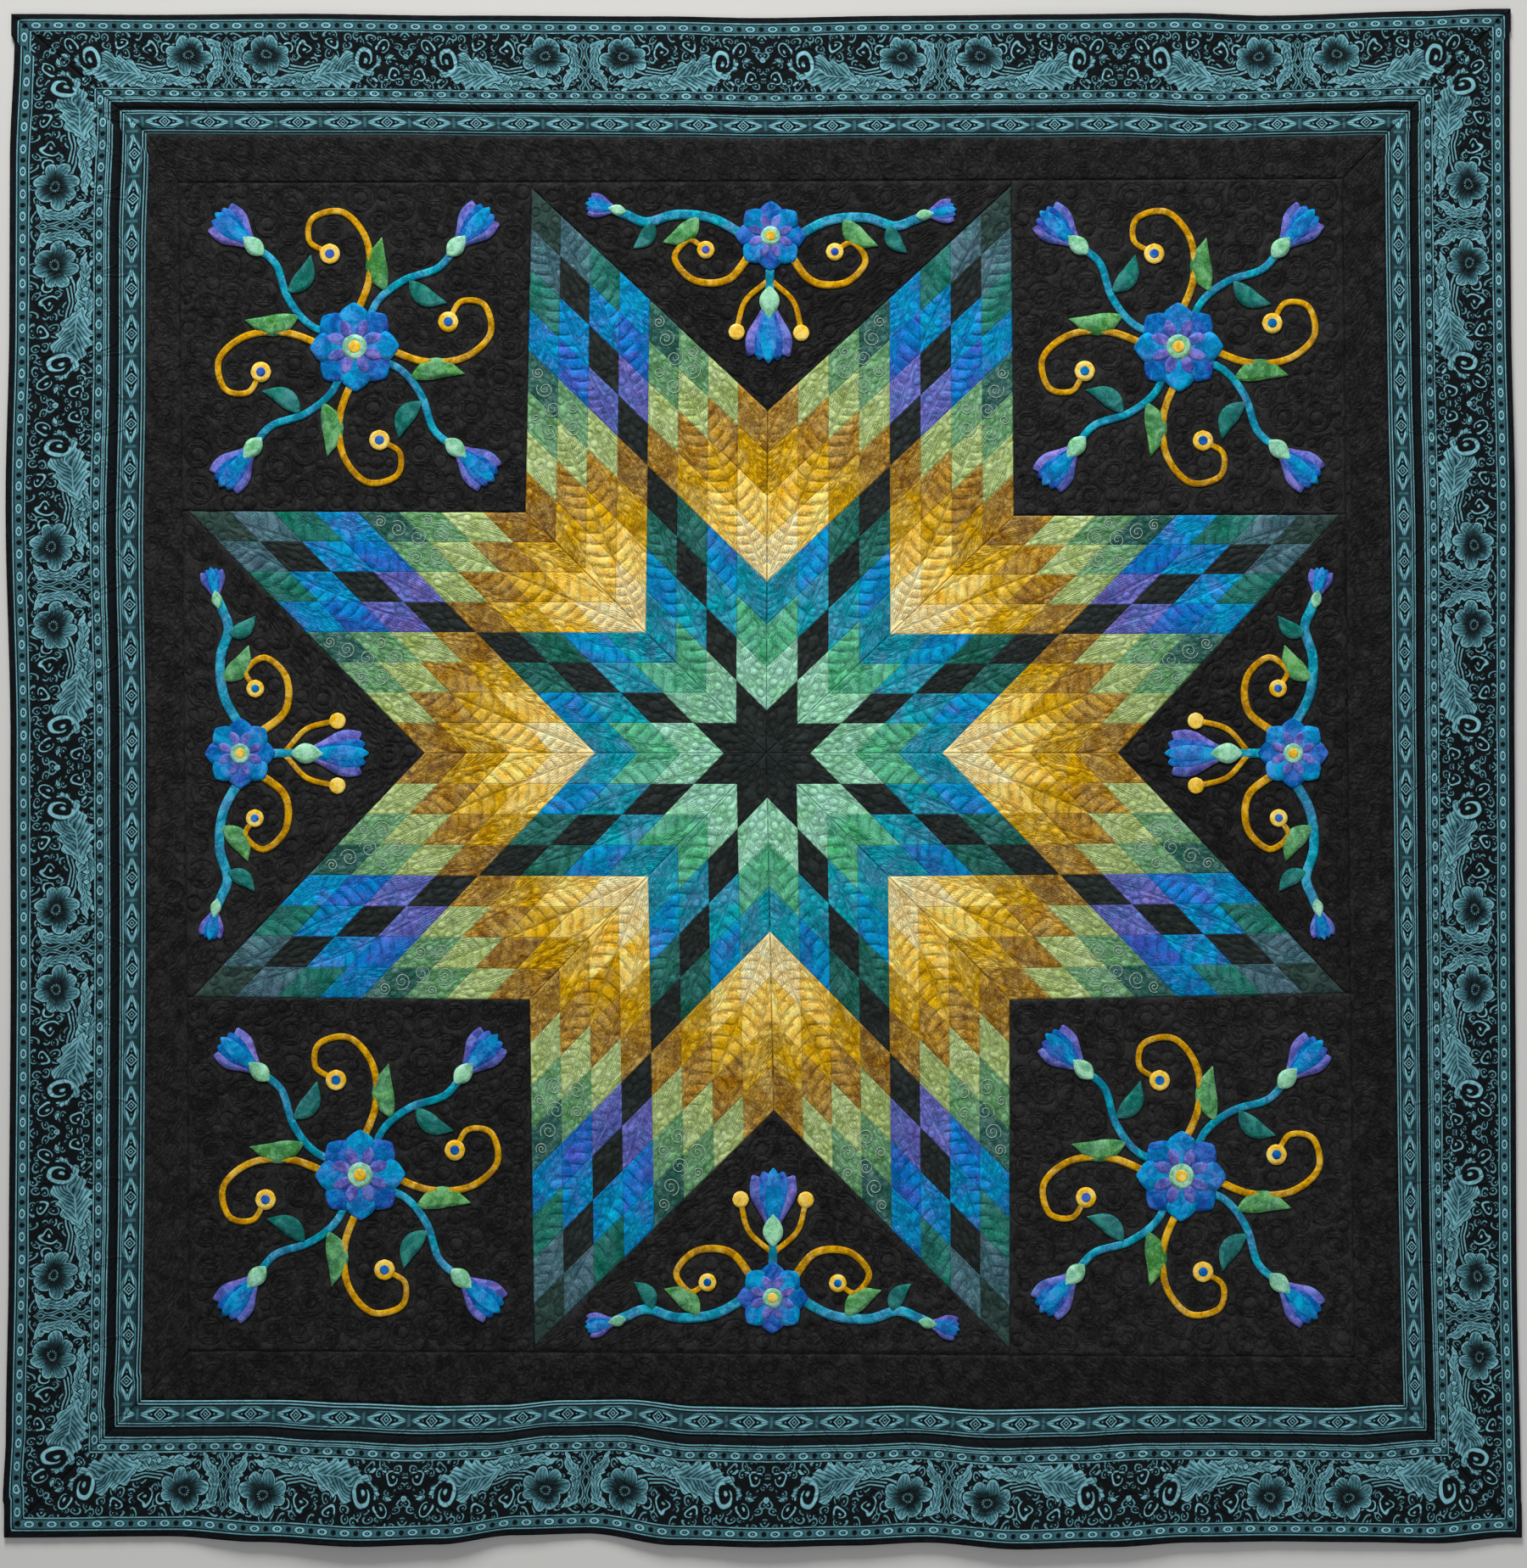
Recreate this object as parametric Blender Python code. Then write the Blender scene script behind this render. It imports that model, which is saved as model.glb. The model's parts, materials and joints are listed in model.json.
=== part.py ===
"""A bed quilt with a patchwork star and applique flowers, laid out flat.

One unit is one metre and +Z is up. The quilt lies on the surface z = 0, with the
top of its design towards +Y and the middle of its outline over the origin.
It is built as it is sewn: a backing, the star and the ground patches on it, three
rings of border with mitred corners, applique laid on the ground patches, and a
binding folded round the edge. The lower hem lies in low, soft waves.
"""
import math
from collections import namedtuple

import bmesh
import bpy
from mathutils import Vector
from mathutils.geometry import delaunay_2d_cdt

MM = 0.001

# Cut sizes of the patchwork, in millimetres
STRIP = 44.45
DIAMOND_ROWS = 8
CROWN_ROWS = 4
DIAMOND_SIDE = DIAMOND_ROWS * STRIP / math.sin(math.radians(45))
NOTCH = DIAMOND_SIDE
TIP_NEAR = DIAMOND_SIDE * math.sin(math.radians(45))
TIP_FAR = DIAMOND_SIDE + TIP_NEAR
TIP_FLOAT = 8.0
BLOCK = TIP_FAR + TIP_FLOAT
INNER_BORDER = 67.0
NARROW_BORDER = 40.0
WIDE_BORDER = 152.0
FIELD = BLOCK + INNER_BORDER
HEM = FIELD + NARROW_BORDER + WIDE_BORDER

# Thickness of the layers, in millimetres
GAP = 0.3
BACK_TOP = 3.0
TOP_LOW = BACK_TOP + GAP
TOP_HIGH = 4.6
CROWN = 1.4
APPLIQUE_LOW = TOP_HIGH + GAP
APPLIQUE_HIGH = 5.9
BINDING_FACE = 9.0
BINDING_CLOTH = 0.6
BINDING_LOW = 0.7
BINDING_FOLD = 0.7
BINDING_HIGH = TOP_HIGH + GAP + BINDING_FOLD
RIM_LOW = BINDING_LOW + GAP
BINDING_ROUND = 0.8

# Rings of the border, as distances out from the star block
RING_END = HEM - BLOCK
SHEET_END = RING_END - BINDING_CLOTH - GAP
FLANGE = RING_END - BINDING_FACE
STEP_LOW = FLANGE - 1.0
STEP_HIGH = FLANGE - 0.6
NARROW_START = INNER_BORDER
WIDE_START = INNER_BORDER + NARROW_BORDER
WAVE_ROW = 50.0
WIDE_LINES = (WIDE_START, WIDE_START + WAVE_ROW, WIDE_START + 2 * WAVE_ROW, STEP_HIGH, SHEET_END)
BACK_LINES = (0.0, NARROW_START) + WIDE_LINES[:3] + (STEP_LOW, STEP_HIGH, SHEET_END)

# Sides of the border, counter-clockwise from the lower one
SIDES = ("bottom", "right", "top", "left")
COLUMNS = {"bottom": 36, "right": 14, "top": 18, "left": 14}

# How far the sewn points stray from the drafted star, in millimetres to the right and up
Stray = namedtuple("Stray", "right up")
CENTRE_STRAY = Stray(9, 28)
NOTCH_STRAY = (Stray(27, 28), Stray(21, 25), Stray(11, 34), Stray(7, 30),
               Stray(5, 28), Stray(15, 19), Stray(20, 3), Stray(13, 19))
TIP_STRAY = (Stray(3, 27), Stray(18, 15), Stray(15, 12), Stray(9, 32),
             Stray(20, 23), Stray(23, 12), Stray(12, 8), Stray(6, 29))

# The same for the four corners of each ring, from the lower left counter-clockwise
BLOCK_STRAY = (Stray(27, 14), Stray(8, 5), Stray(1, 17), Stray(1, 11))
FIELD_STRAY = (Stray(23, 9), Stray(13, 2), Stray(-2, 16), Stray(19, 18))
HEM_STRAY = (Stray(14, 0), Stray(-6, 0), Stray(-6, 14), Stray(8, 6))

# The waves of the hem: place along the side, reach beyond a straight hem, and lift
Wave = namedtuple("Wave", "along out lift")
HEM_WAVES = {
    "bottom": (Wave(-1110, 0, 0), Wave(-880, -2, 0), Wave(-750, 5, 6), Wave(-600, 11, 12),
               Wave(-480, 8, 10), Wave(-370, -4, 3), Wave(-260, -6, 0), Wave(-130, 10, 6),
               Wave(0, 12, 11), Wave(130, 10, 8), Wave(240, 6, 6), Wave(380, 15, 11),
               Wave(510, 12, 10), Wave(640, 6, 5), Wave(760, 5, 3), Wave(880, 6, 3),
               Wave(1000, 8, 2), Wave(1110, 0, 0)),
    "right": (Wave(-1077, -1, 0), Wave(-724, -5, 0), Wave(-347, -4, 0), Wave(30, -3, 2),
              Wave(407, 0, 4), Wave(659, -3, 1), Wave(910, -3, 0), Wave(1090, -2, 0)),
    "top": (Wave(-1090, 0, 0), Wave(-900, -2, 0), Wave(-700, -2, 3), Wave(-450, -5, 1),
            Wave(-150, -7, 0), Wave(0, -10, 0), Wave(200, -8, 2), Wave(450, -7, 4),
            Wave(628, -5, 2), Wave(760, -9, 0), Wave(1000, -3, 0), Wave(1090, 0, 0)),
    "left": (Wave(-1077, 2, 0), Wave(-976, -2, 0), Wave(-724, -5, 0), Wave(-347, -6, 0),
             Wave(30, -4, 0), Wave(407, 4, 4), Wave(659, 0, 3), Wave(910, 1, 0),
             Wave(1090, -5, 0)),
}

# One side of a flower cup, as shares of its length ahead and of its width aside
CupRow = namedtuple("CupRow", "ahead aside")
TULIP_SIDE = (CupRow(0.0, 0.08), CupRow(0.24, 0.36), CupRow(0.62, 0.4), CupRow(0.94, 0.5),
              CupRow(0.68, 0.17))
LEAF_WIDEST = 0.45

# A petal's outline: how far round the petal, and the share of the flower's radius
PetalPoint = namedtuple("PetalPoint", "round reach")
PETAL_POINTS = (PetalPoint(-0.5, 0.6), PetalPoint(-0.2, 1.0), PetalPoint(0.2, 1.0))

# Outlines closer than this are merged, and bends smaller than this are left out
MERGE_REACH = 0.01
FLAT_ANGLE = math.radians(0.5)

# Colours of the cloths, as red, green and blue of 0 to 255
GROUND_BLACK = (17, 16, 15)
PRINT_TEAL = (56, 92, 96)
STAR_GOLD = (176, 138, 40)
BINDING_BLACK = (12, 12, 13)
BACK_TEAL = (38, 66, 70)
APPLIQUE_BLUE = (44, 118, 168)


def drafted(far, near, turn):
    """Returns a drafted point, turned counter-clockwise by eighths of a full turn."""
    angle = math.radians(45.0 * turn)
    return Vector((far * math.cos(angle) - near * math.sin(angle),
                   far * math.sin(angle) + near * math.cos(angle)))


def strayed(point, stray):
    return point + Vector((stray.right, stray.up))


def square_corners(half, strays):
    """Returns a ring's four corners, from the lower left counter-clockwise."""
    signs = ((-1, -1), (1, -1), (1, 1), (-1, 1))
    return [strayed(Vector((half * x, half * y)), stray)
            for (x, y), stray in zip(signs, strays)]


CENTRE = strayed(Vector((0.0, 0.0)), CENTRE_STRAY)
NOTCHES = [strayed(drafted(NOTCH, 0.0, eighth), stray)
           for eighth, stray in enumerate(NOTCH_STRAY)]
TIP_REACH = DIAMOND_SIDE * 2 * math.cos(math.radians(22.5))
TIPS = [strayed(drafted(TIP_REACH, 0.0, eighth + 0.5), stray)
        for eighth, stray in enumerate(TIP_STRAY)]
BLOCK_CORNERS = square_corners(BLOCK, BLOCK_STRAY)
FIELD_CORNERS = square_corners(FIELD, FIELD_STRAY)
HEM_CORNERS = square_corners(HEM, HEM_STRAY)
OUTWARD = {"bottom": Vector((0, -1)), "right": Vector((1, 0)),
           "top": Vector((0, 1)), "left": Vector((-1, 0))}

# The two tips that point at each side, in counter-clockwise order
SIDE_TIPS = {"bottom": (5, 6), "right": (7, 0), "top": (1, 2), "left": (3, 4)}


def edge_point(side, tip):
    """Returns the point of the star block's edge just beyond a tip of the star."""
    return TIPS[tip] + OUTWARD[side] * TIP_FLOAT


def block_line(side, t):
    """Returns the star block's edge at t, which runs from -1 to 1 along a side."""
    first, second = SIDE_TIPS[side]
    index = SIDES.index(side)
    bend = TIP_NEAR / BLOCK
    stops = ((-1.0, BLOCK_CORNERS[index]), (-bend, edge_point(side, first)),
             (bend, edge_point(side, second)), (1.0, BLOCK_CORNERS[(index + 1) % 4]))
    for (t_low, low), (t_high, high) in zip(stops, stops[1:]):
        if t <= t_high:
            return low.lerp(high, (t - t_low) / (t_high - t_low))
    return BLOCK_CORNERS[(index + 1) % 4].copy()


def straight_line(corners, side, t):
    index = SIDES.index(side)
    return corners[index].lerp(corners[(index + 1) % 4], (t + 1.0) / 2.0)


def wave_at(side, along):
    """Returns the hem's reach and lift at a place along a side, eased between rows."""
    rows = HEM_WAVES[side]
    if not rows[0].along < along < rows[-1].along:
        return 0.0, 0.0
    for low, high in zip(rows, rows[1:]):
        if along <= high.along:
            part = (along - low.along) / (high.along - low.along)
            ease = part * part * (3.0 - 2.0 * part)
            return (low.out + (high.out - low.out) * ease,
                    low.lift + (high.lift - low.lift) * ease)
    return 0.0, 0.0


def border_point(side, t, out, height):
    """Returns a point of the border: t along its side, out from the star block."""
    if out <= NARROW_START:
        flat = block_line(side, t).lerp(straight_line(FIELD_CORNERS, side, t),
                                        out / NARROW_START)
    else:
        flat = straight_line(FIELD_CORNERS, side, t).lerp(
            straight_line(HEM_CORNERS, side, t),
            (out - NARROW_START) / (RING_END - NARROW_START))
    along = t * HEM
    if side in ("top", "left"):
        along = -along
    reach, lift = wave_at(side, along)
    part = out / RING_END
    flat = flat + OUTWARD[side] * (reach * (1.0 - (1.0 - part) ** 3))
    rise = lift * part * part * (3.0 - 2.0 * part)
    return Vector((flat.x, flat.y, height + rise))


def column_places(side, out, inset):
    """Returns the t of each column, the end ones held back from the mitre."""
    count = COLUMNS[side]
    places = [-1.0 + 2.0 * column / count for column in range(count + 1)]
    hold = inset * math.sqrt(2.0) / (BLOCK + out)
    places[0] += hold
    places[-1] -= hold
    return places


def linear(channel):
    value = channel / 255.0
    if value <= 0.04045:
        return value / 12.92
    return ((value + 0.055) / 1.055) ** 2.4


def cloth_material(name, colour, roughness):
    material = bpy.data.materials.new(name)
    material.use_nodes = True
    shader = material.node_tree.nodes["Principled BSDF"]
    shader.inputs["Base Color"].default_value = [linear(c) for c in colour] + [1.0]
    shader.inputs["Roughness"].default_value = roughness
    shader.inputs["Metallic"].default_value = 0.0
    return material


def add_object(name, shape, colour, roughness=0.9):
    """Makes the object of a bmesh whose points are in millimetres."""
    mesh = bpy.data.meshes.new(name)
    shape.to_mesh(mesh)
    shape.free()
    for vertex in mesh.vertices:
        vertex.co *= MM
    part = bpy.data.objects.new(name, mesh)
    part.data.materials.append(cloth_material(name, colour, roughness))
    bpy.context.scene.collection.objects.link(part)
    return part


def sheet_between(faces, low, high):
    """Returns a closed bmesh of flat faces, given counter-clockwise from above.

    low and high hold the underside's and the face side's place of each point.
    """
    shape = bmesh.new()
    used = sorted({index for face in faces for index in face})
    under = {index: shape.verts.new(low[index]) for index in used}
    over = {index: shape.verts.new(high[index]) for index in used}
    open_edges = {}
    for face in faces:
        shape.faces.new([over[index] for index in face])
        shape.faces.new([under[index] for index in reversed(face)])
        for start, end in zip(face, face[1:] + face[:1]):
            if (end, start) in open_edges:
                del open_edges[(end, start)]
            else:
                open_edges[(start, end)] = True
    for start, end in open_edges:
        shape.faces.new((under[start], under[end], over[end], over[start]))
    return shape


def split_cell(a, b, c, d):
    """Returns the two triangles of a cell, so that stacked layers bend alike."""
    return [[a, b, c], [a, c, d]]


def border_strip(side, lines, low_height, high_height):
    """Returns the closed bmesh of one side of a border ring."""
    low = []
    high = []
    last = len(lines) - 1
    for row, line in enumerate(lines):
        hold = {0: GAP / 2, last: -GAP / 2}.get(row, 0.0)
        for t in column_places(side, line, GAP / 2):
            low.append(border_point(side, t, line + hold, low_height))
            high.append(border_point(side, t, line + hold, high_height))
    width = COLUMNS[side] + 1
    faces = []
    for row in range(last):
        for column in range(COLUMNS[side]):
            corner = row * width + column
            faces += split_cell(corner, corner + width, corner + width + 1, corner + 1)
    return sheet_between(faces, low, high)


def back_shape():
    """Returns the backing: flat below the star, with the border's waves round it."""
    index_of = {}
    low = []
    high = []

    def node(side_index, column, row):
        count = COLUMNS[SIDES[side_index]]
        if column == count:
            side_index = (side_index + 1) % 4
            column = 0
        key = (side_index, column, row)
        if key not in index_of:
            side = SIDES[side_index]
            line = BACK_LINES[row]
            t = -1.0 + 2.0 * column / COLUMNS[side]
            foot = RIM_LOW if line >= STEP_HIGH else 0.0
            index_of[key] = len(low)
            low.append(border_point(side, t, line, foot))
            high.append(border_point(side, t, line, BACK_TOP))
        return index_of[key]

    middle = []
    faces = []
    for side_index, side in enumerate(SIDES):
        for column in range(COLUMNS[side]):
            middle.append(node(side_index, column, 0))
            for row in range(len(BACK_LINES) - 1):
                faces += split_cell(node(side_index, column, row),
                                    node(side_index, column, row + 1),
                                    node(side_index, column + 1, row + 1),
                                    node(side_index, column + 1, row))
    faces.append(middle)
    return sheet_between(faces, low, high)


def binding_profile():
    """Returns the folded strip's outline as pairs of distance out and height."""
    outer = RING_END
    inner = RING_END - BINDING_CLOTH
    under = BINDING_HIGH - BINDING_FOLD
    return ((FLANGE, BINDING_HIGH), (FLANGE, under), (inner, under), (inner, BINDING_LOW),
            (FLANGE, BINDING_LOW), (FLANGE, 0.0), (outer - BINDING_ROUND, 0.0), (outer, BINDING_ROUND),
            (outer, BINDING_HIGH - BINDING_ROUND), (outer - BINDING_ROUND, BINDING_HIGH))


def binding_shape(side):
    """Returns the binding of one side, its ends cut to the mitre."""
    shape = bmesh.new()
    rings = []
    for column in range(COLUMNS[side] + 1):
        ring = []
        for out, height in binding_profile():
            t = column_places(side, out, GAP / 2)[column]
            ring.append(shape.verts.new(border_point(side, t, out, height)))
        rings.append(ring)
    for ring, following in zip(rings, rings[1:]):
        for index in range(len(ring)):
            after = (index + 1) % len(ring)
            shape.faces.new((ring[index], following[index], following[after]))
            shape.faces.new((ring[index], following[after], ring[after]))
    shape.faces.new(rings[0])
    shape.faces.new(list(reversed(rings[-1])))
    bmesh.ops.recalc_face_normals(shape, faces=shape.faces)
    return shape


def inset_outline(corners, inset):
    """Moves each side of a counter-clockwise outline inwards by the same amount."""
    moved = []
    for before, corner, after in zip(corners[-1:] + corners[:-1], corners,
                                     corners[1:] + corners[:1]):
        first = (corner - before).normalized()
        second = (after - corner).normalized()
        first_in = Vector((-first.y, first.x))
        second_in = Vector((-second.y, second.x))
        across = first_in + second_in
        moved.append(corner + across * (inset / (1.0 + first_in.dot(second_in))))
    return moved


def flat_patch(corners):
    """Returns a flat ground patch with the seam's gap round it."""
    outline = inset_outline(corners, GAP / 2)
    low = [Vector((point.x, point.y, TOP_LOW)) for point in outline]
    high = [Vector((point.x, point.y, TOP_HIGH)) for point in outline]
    return sheet_between([list(range(len(outline)))], low, high)


def star_diamond(eighth):
    """Returns one large diamond of the star, crowned where the wadding fills it."""
    corners = [CENTRE, NOTCHES[eighth], TIPS[eighth], NOTCHES[(eighth + 1) % 8]]
    start, right, far, left = inset_outline(corners, GAP / 2)
    low = []
    high = []
    for row in range(CROWN_ROWS + 1):
        for column in range(CROWN_ROWS + 1):
            a = row / CROWN_ROWS
            b = column / CROWN_ROWS
            flat = start.lerp(right, a).lerp(left.lerp(far, a), b)
            fill = 16.0 * a * (1.0 - a) * b * (1.0 - b)
            low.append(Vector((flat.x, flat.y, TOP_LOW)))
            high.append(Vector((flat.x, flat.y, TOP_HIGH + CROWN * fill ** 0.5)))
    width = CROWN_ROWS + 1
    faces = []
    for row in range(CROWN_ROWS):
        for column in range(CROWN_ROWS):
            corner = row * width + column
            faces += split_cell(corner, corner + width, corner + width + 1, corner + 1)
    return sheet_between(faces, low, high)


def smooth_curve(points, count):
    """Returns count + 1 points, evenly spaced in step, on a smooth curve through points."""
    spans = len(points) - 1
    ends = [points[0] * 2 - points[1]] + list(points) + [points[-1] * 2 - points[-2]]
    curve = []
    for index in range(count + 1):
        place = index / count * spans
        span = min(int(place), spans - 1)
        t = place - span
        p0, p1, p2, p3 = ends[span:span + 4]
        curve.append(((p1 * 2) + (p2 - p0) * t + (p0 * 2 - p1 * 5 + p2 * 4 - p3) * t ** 2
                      + (p1 * 3 - p0 - p2 * 3 + p3) * t ** 3) / 2)
    return curve


def stem(points, width, count, end_share=1.0):
    """Returns the quads of a vine along points, narrowed to end_share at its end."""
    curve = smooth_curve([Vector(point) for point in points], count)
    sides = []
    for index, point in enumerate(curve):
        along = curve[min(index + 1, count)] - curve[max(index - 1, 0)]
        across = Vector((-along.y, along.x)).normalized()
        half = width / 2 * (1.0 + (end_share - 1.0) * index / count)
        sides.append((point - across * half, point + across * half))
    return [[low[0], high[0], high[1], low[1]] for low, high in zip(sides, sides[1:])]


def leaf(base, tip, width):
    """Returns a pointed leaf from base to tip, widest a little before its middle."""
    start = Vector(base)
    axis = Vector(tip) - start
    across = Vector((-axis.y, axis.x)).normalized() * (width / 2)
    widest = start + axis * LEAF_WIDEST
    return [[start, widest - across, start + axis, widest + across]]


def berry(centre, radius, count=6):
    return [[Vector(centre) + Vector((radius * math.cos(math.tau * step / count),
                                      radius * math.sin(math.tau * step / count)))
             for step in range(count)]]


def tulip(base, direction, length, width):
    """Returns a flower cup with three points, opening along direction."""
    start = Vector(base)
    ahead = Vector(direction).normalized() * length
    across = Vector((-ahead.y, ahead.x)).normalized() * width
    right = [start + ahead * row.ahead - across * row.aside for row in TULIP_SIDE]
    left = [start + ahead * row.ahead + across * row.aside for row in reversed(TULIP_SIDE)]
    return [right + [start + ahead] + left]


def rosette(centre, radius, petals):
    """Returns a flower with round petals, three points to a petal."""
    middle = Vector(centre)
    outline = []
    for petal in range(petals):
        for point in PETAL_POINTS:
            angle = math.tau * (petal + point.round) / petals
            ahead = Vector((math.cos(angle), math.sin(angle)))
            outline.append(middle + ahead * (radius * point.reach))
    return [outline]


def turned(shapes, angle):
    cosine = math.cos(angle)
    sine = math.sin(angle)
    return [[Vector((p.x * cosine - p.y * sine, p.x * sine + p.y * cosine)) for p in outline]
            for outline in shapes]


def mirrored(shapes):
    return [[Vector((-point.x, point.y)) for point in reversed(outline)] for outline in shapes]


def corner_spray():
    """Returns the applique of a corner: four curved arms round a rosette."""
    arm = stem(((20, 0), (70, 22), (122, 16), (170, -8), (212, -6)), 17, 5)
    arm += tulip((200, -6), (1, 0.05), 84, 76)
    arm += leaf((92, 24), (146, 84), 34)
    arm += leaf((128, 10), (142, -54), 30)
    hook = stem(((40, 0), (102, -24), (162, -20), (202, 14), (194, 58), (160, 64), (142, 38)),
                15, 7, 0.7)
    hook += berry((140, 34), 16)
    shapes = rosette((0, 0), 66, 8)
    for quarter in range(4):
        shapes += turned(arm, math.radians(90 * quarter))
        shapes += turned(hook, math.radians(90 * quarter + 45))
    return shapes


def side_spray():
    """Returns the applique of a side patch: a tall tulip between two pairs of vines."""
    half = stem(((30, 88), (84, 58), (140, 52), (184, 64), (214, 54), (232, 46)), 17, 5)
    half += tulip((224, 48), (1, -0.2), 50, 44)
    half += leaf((108, 54), (160, 94), 32)
    half += leaf((176, 62), (204, 104), 26)
    half += stem(((26, 104), (62, 148), (112, 150), (142, 118), (122, 90), (98, 102)),
                 15, 7, 0.7)
    half += berry((96, 104), 14)
    half += stem(((4, 150), (36, 180), (48, 222)), 9, 3)
    half += berry((48, 226), 13)
    shapes = rosette((0, 82), 52, 8)
    shapes += stem(((0, 120), (0, 180)), 15, 1)
    shapes += tulip((0, 160), (0, 1), 108, 92)
    return shapes + half + mirrored(half)


def joined_outline(shapes, place):
    """Returns the closed bmesh of overlapping outlines merged into one cut shape."""
    points = []
    loops = []
    for outline in shapes:
        loops.append(list(range(len(points), len(points) + len(outline))))
        points += [place(point) for point in outline]
    flat, _, cells, _, _, from_loops = delaunay_2d_cdt(points, [], loops, 0, MERGE_REACH)
    cloth = bmesh.new()
    corners = [cloth.verts.new((point.x, point.y, 0.0)) for point in flat]
    for cell, owners in zip(cells, from_loops):
        if owners:
            cloth.faces.new([corners[index] for index in cell])
    bmesh.ops.dissolve_limit(cloth, angle_limit=FLAT_ANGLE, use_dissolve_boundaries=False,
                             verts=cloth.verts, edges=cloth.edges)
    bmesh.ops.triangulate(cloth, faces=cloth.faces)
    cloth.verts.index_update()
    low = [Vector((v.co.x, v.co.y, APPLIQUE_LOW)) for v in cloth.verts]
    high = [Vector((v.co.x, v.co.y, APPLIQUE_HIGH)) for v in cloth.verts]
    faces = [[vertex.index for vertex in face.verts] for face in cloth.faces]
    cloth.free()
    return sheet_between(faces, low, high)


def corner_patch_outline(corner):
    """Returns a corner patch: notch, tip, block edge, block corner, block edge, tip."""
    notch = (5 + 2 * corner) % 8
    right_tip = (notch - 1) % 8
    left_tip = notch
    side_before = SIDES[(corner - 1) % 4]
    side_after = SIDES[corner]
    return [NOTCHES[notch], TIPS[right_tip], edge_point(side_before, right_tip),
            BLOCK_CORNERS[corner], edge_point(side_after, left_tip), TIPS[left_tip]]


def side_patch_outline(side):
    """Returns a side patch: notch, tip, block edge twice, tip."""
    first, second = SIDE_TIPS[side]
    notch = (first + 1) % 8
    return [NOTCHES[notch], TIPS[first], edge_point(side, first),
            edge_point(side, second), TIPS[second]]


def corner_place(corner):
    """Returns the move from a corner spray's own frame onto its patch."""
    notch, _, edge_before, far, edge_after, _ = corner_patch_outline(corner)
    middle = (notch + edge_before + far + edge_after) / 4
    ahead = (far - notch).normalized()
    across = Vector((-ahead.y, ahead.x))
    return lambda point: middle + ahead * point[0] + across * point[1]


def side_place(side):
    """Returns the move from a side spray's own frame onto its patch."""
    notch, _, first_edge, second_edge, _ = side_patch_outline(side)
    middle = (first_edge + second_edge) / 2
    inward = (notch - middle).normalized()
    across = Vector((inward.y, -inward.x))
    return lambda point: middle + across * point[0] + inward * point[1]


def build_back():
    add_object("quilt_back", back_shape(), BACK_TEAL)


def build_star():
    for eighth in range(8):
        add_object(f"star_diamond_{eighth + 1}", star_diamond(eighth), STAR_GOLD)


def build_ground():
    for corner in range(4):
        add_object(f"corner_square_{corner + 1}", flat_patch(corner_patch_outline(corner)),
                   GROUND_BLACK)
    for number, side in enumerate(SIDES, 1):
        add_object(f"side_triangle_{number}", flat_patch(side_patch_outline(side)), GROUND_BLACK)


def build_borders():
    rings = (("inner_border", (0.0, NARROW_START), GROUND_BLACK),
             ("narrow_border", (NARROW_START, WIDE_START), PRINT_TEAL),
             ("wide_border", WIDE_LINES, PRINT_TEAL))
    for ring, lines, colour in rings:
        for side in SIDES:
            add_object(f"{ring}_{side}", border_strip(side, lines, TOP_LOW, TOP_HIGH), colour)


def build_binding():
    for side in SIDES:
        add_object(f"binding_{side}", binding_shape(side), BINDING_BLACK)


def build_applique():
    for corner in range(4):
        add_object(f"applique_corner_{corner + 1}",
                   joined_outline(corner_spray(), corner_place(corner)), APPLIQUE_BLUE, 0.8)
    for number, side in enumerate(SIDES, 1):
        add_object(f"applique_side_{number}",
                   joined_outline(side_spray(), side_place(side)), APPLIQUE_BLUE, 0.8)


def centre_all():
    """Moves every piece so that the middle of the whole outline is over the origin."""
    points = [vertex.co for part in bpy.context.scene.objects for vertex in part.data.vertices]
    middle_x = (min(p.x for p in points) + max(p.x for p in points)) / 2
    middle_y = (min(p.y for p in points) + max(p.y for p in points)) / 2
    for part in bpy.context.scene.objects:
        for vertex in part.data.vertices:
            vertex.co.x -= middle_x
            vertex.co.y -= middle_y


def main():
    for old in list(bpy.data.objects):
        bpy.data.objects.remove(old, do_unlink=True)
    build_back()
    build_star()
    build_ground()
    build_borders()
    build_binding()
    build_applique()
    centre_all()


main()
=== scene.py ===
# %% [markdown]
# # A bed quilt with a patchwork star
#
# This lesson dresses a set of plain solids as a quilt that lies flat. The solids give
# every patch its size and place. Here each one gets its cloth, with stitched relief,
# mottled cottons, a printed border and applique flowers.

# %% Load the solids
import json
import math
from collections import namedtuple

import bpy
import numpy as np
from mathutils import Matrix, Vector
from mathutils.kdtree import KDTree

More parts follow.
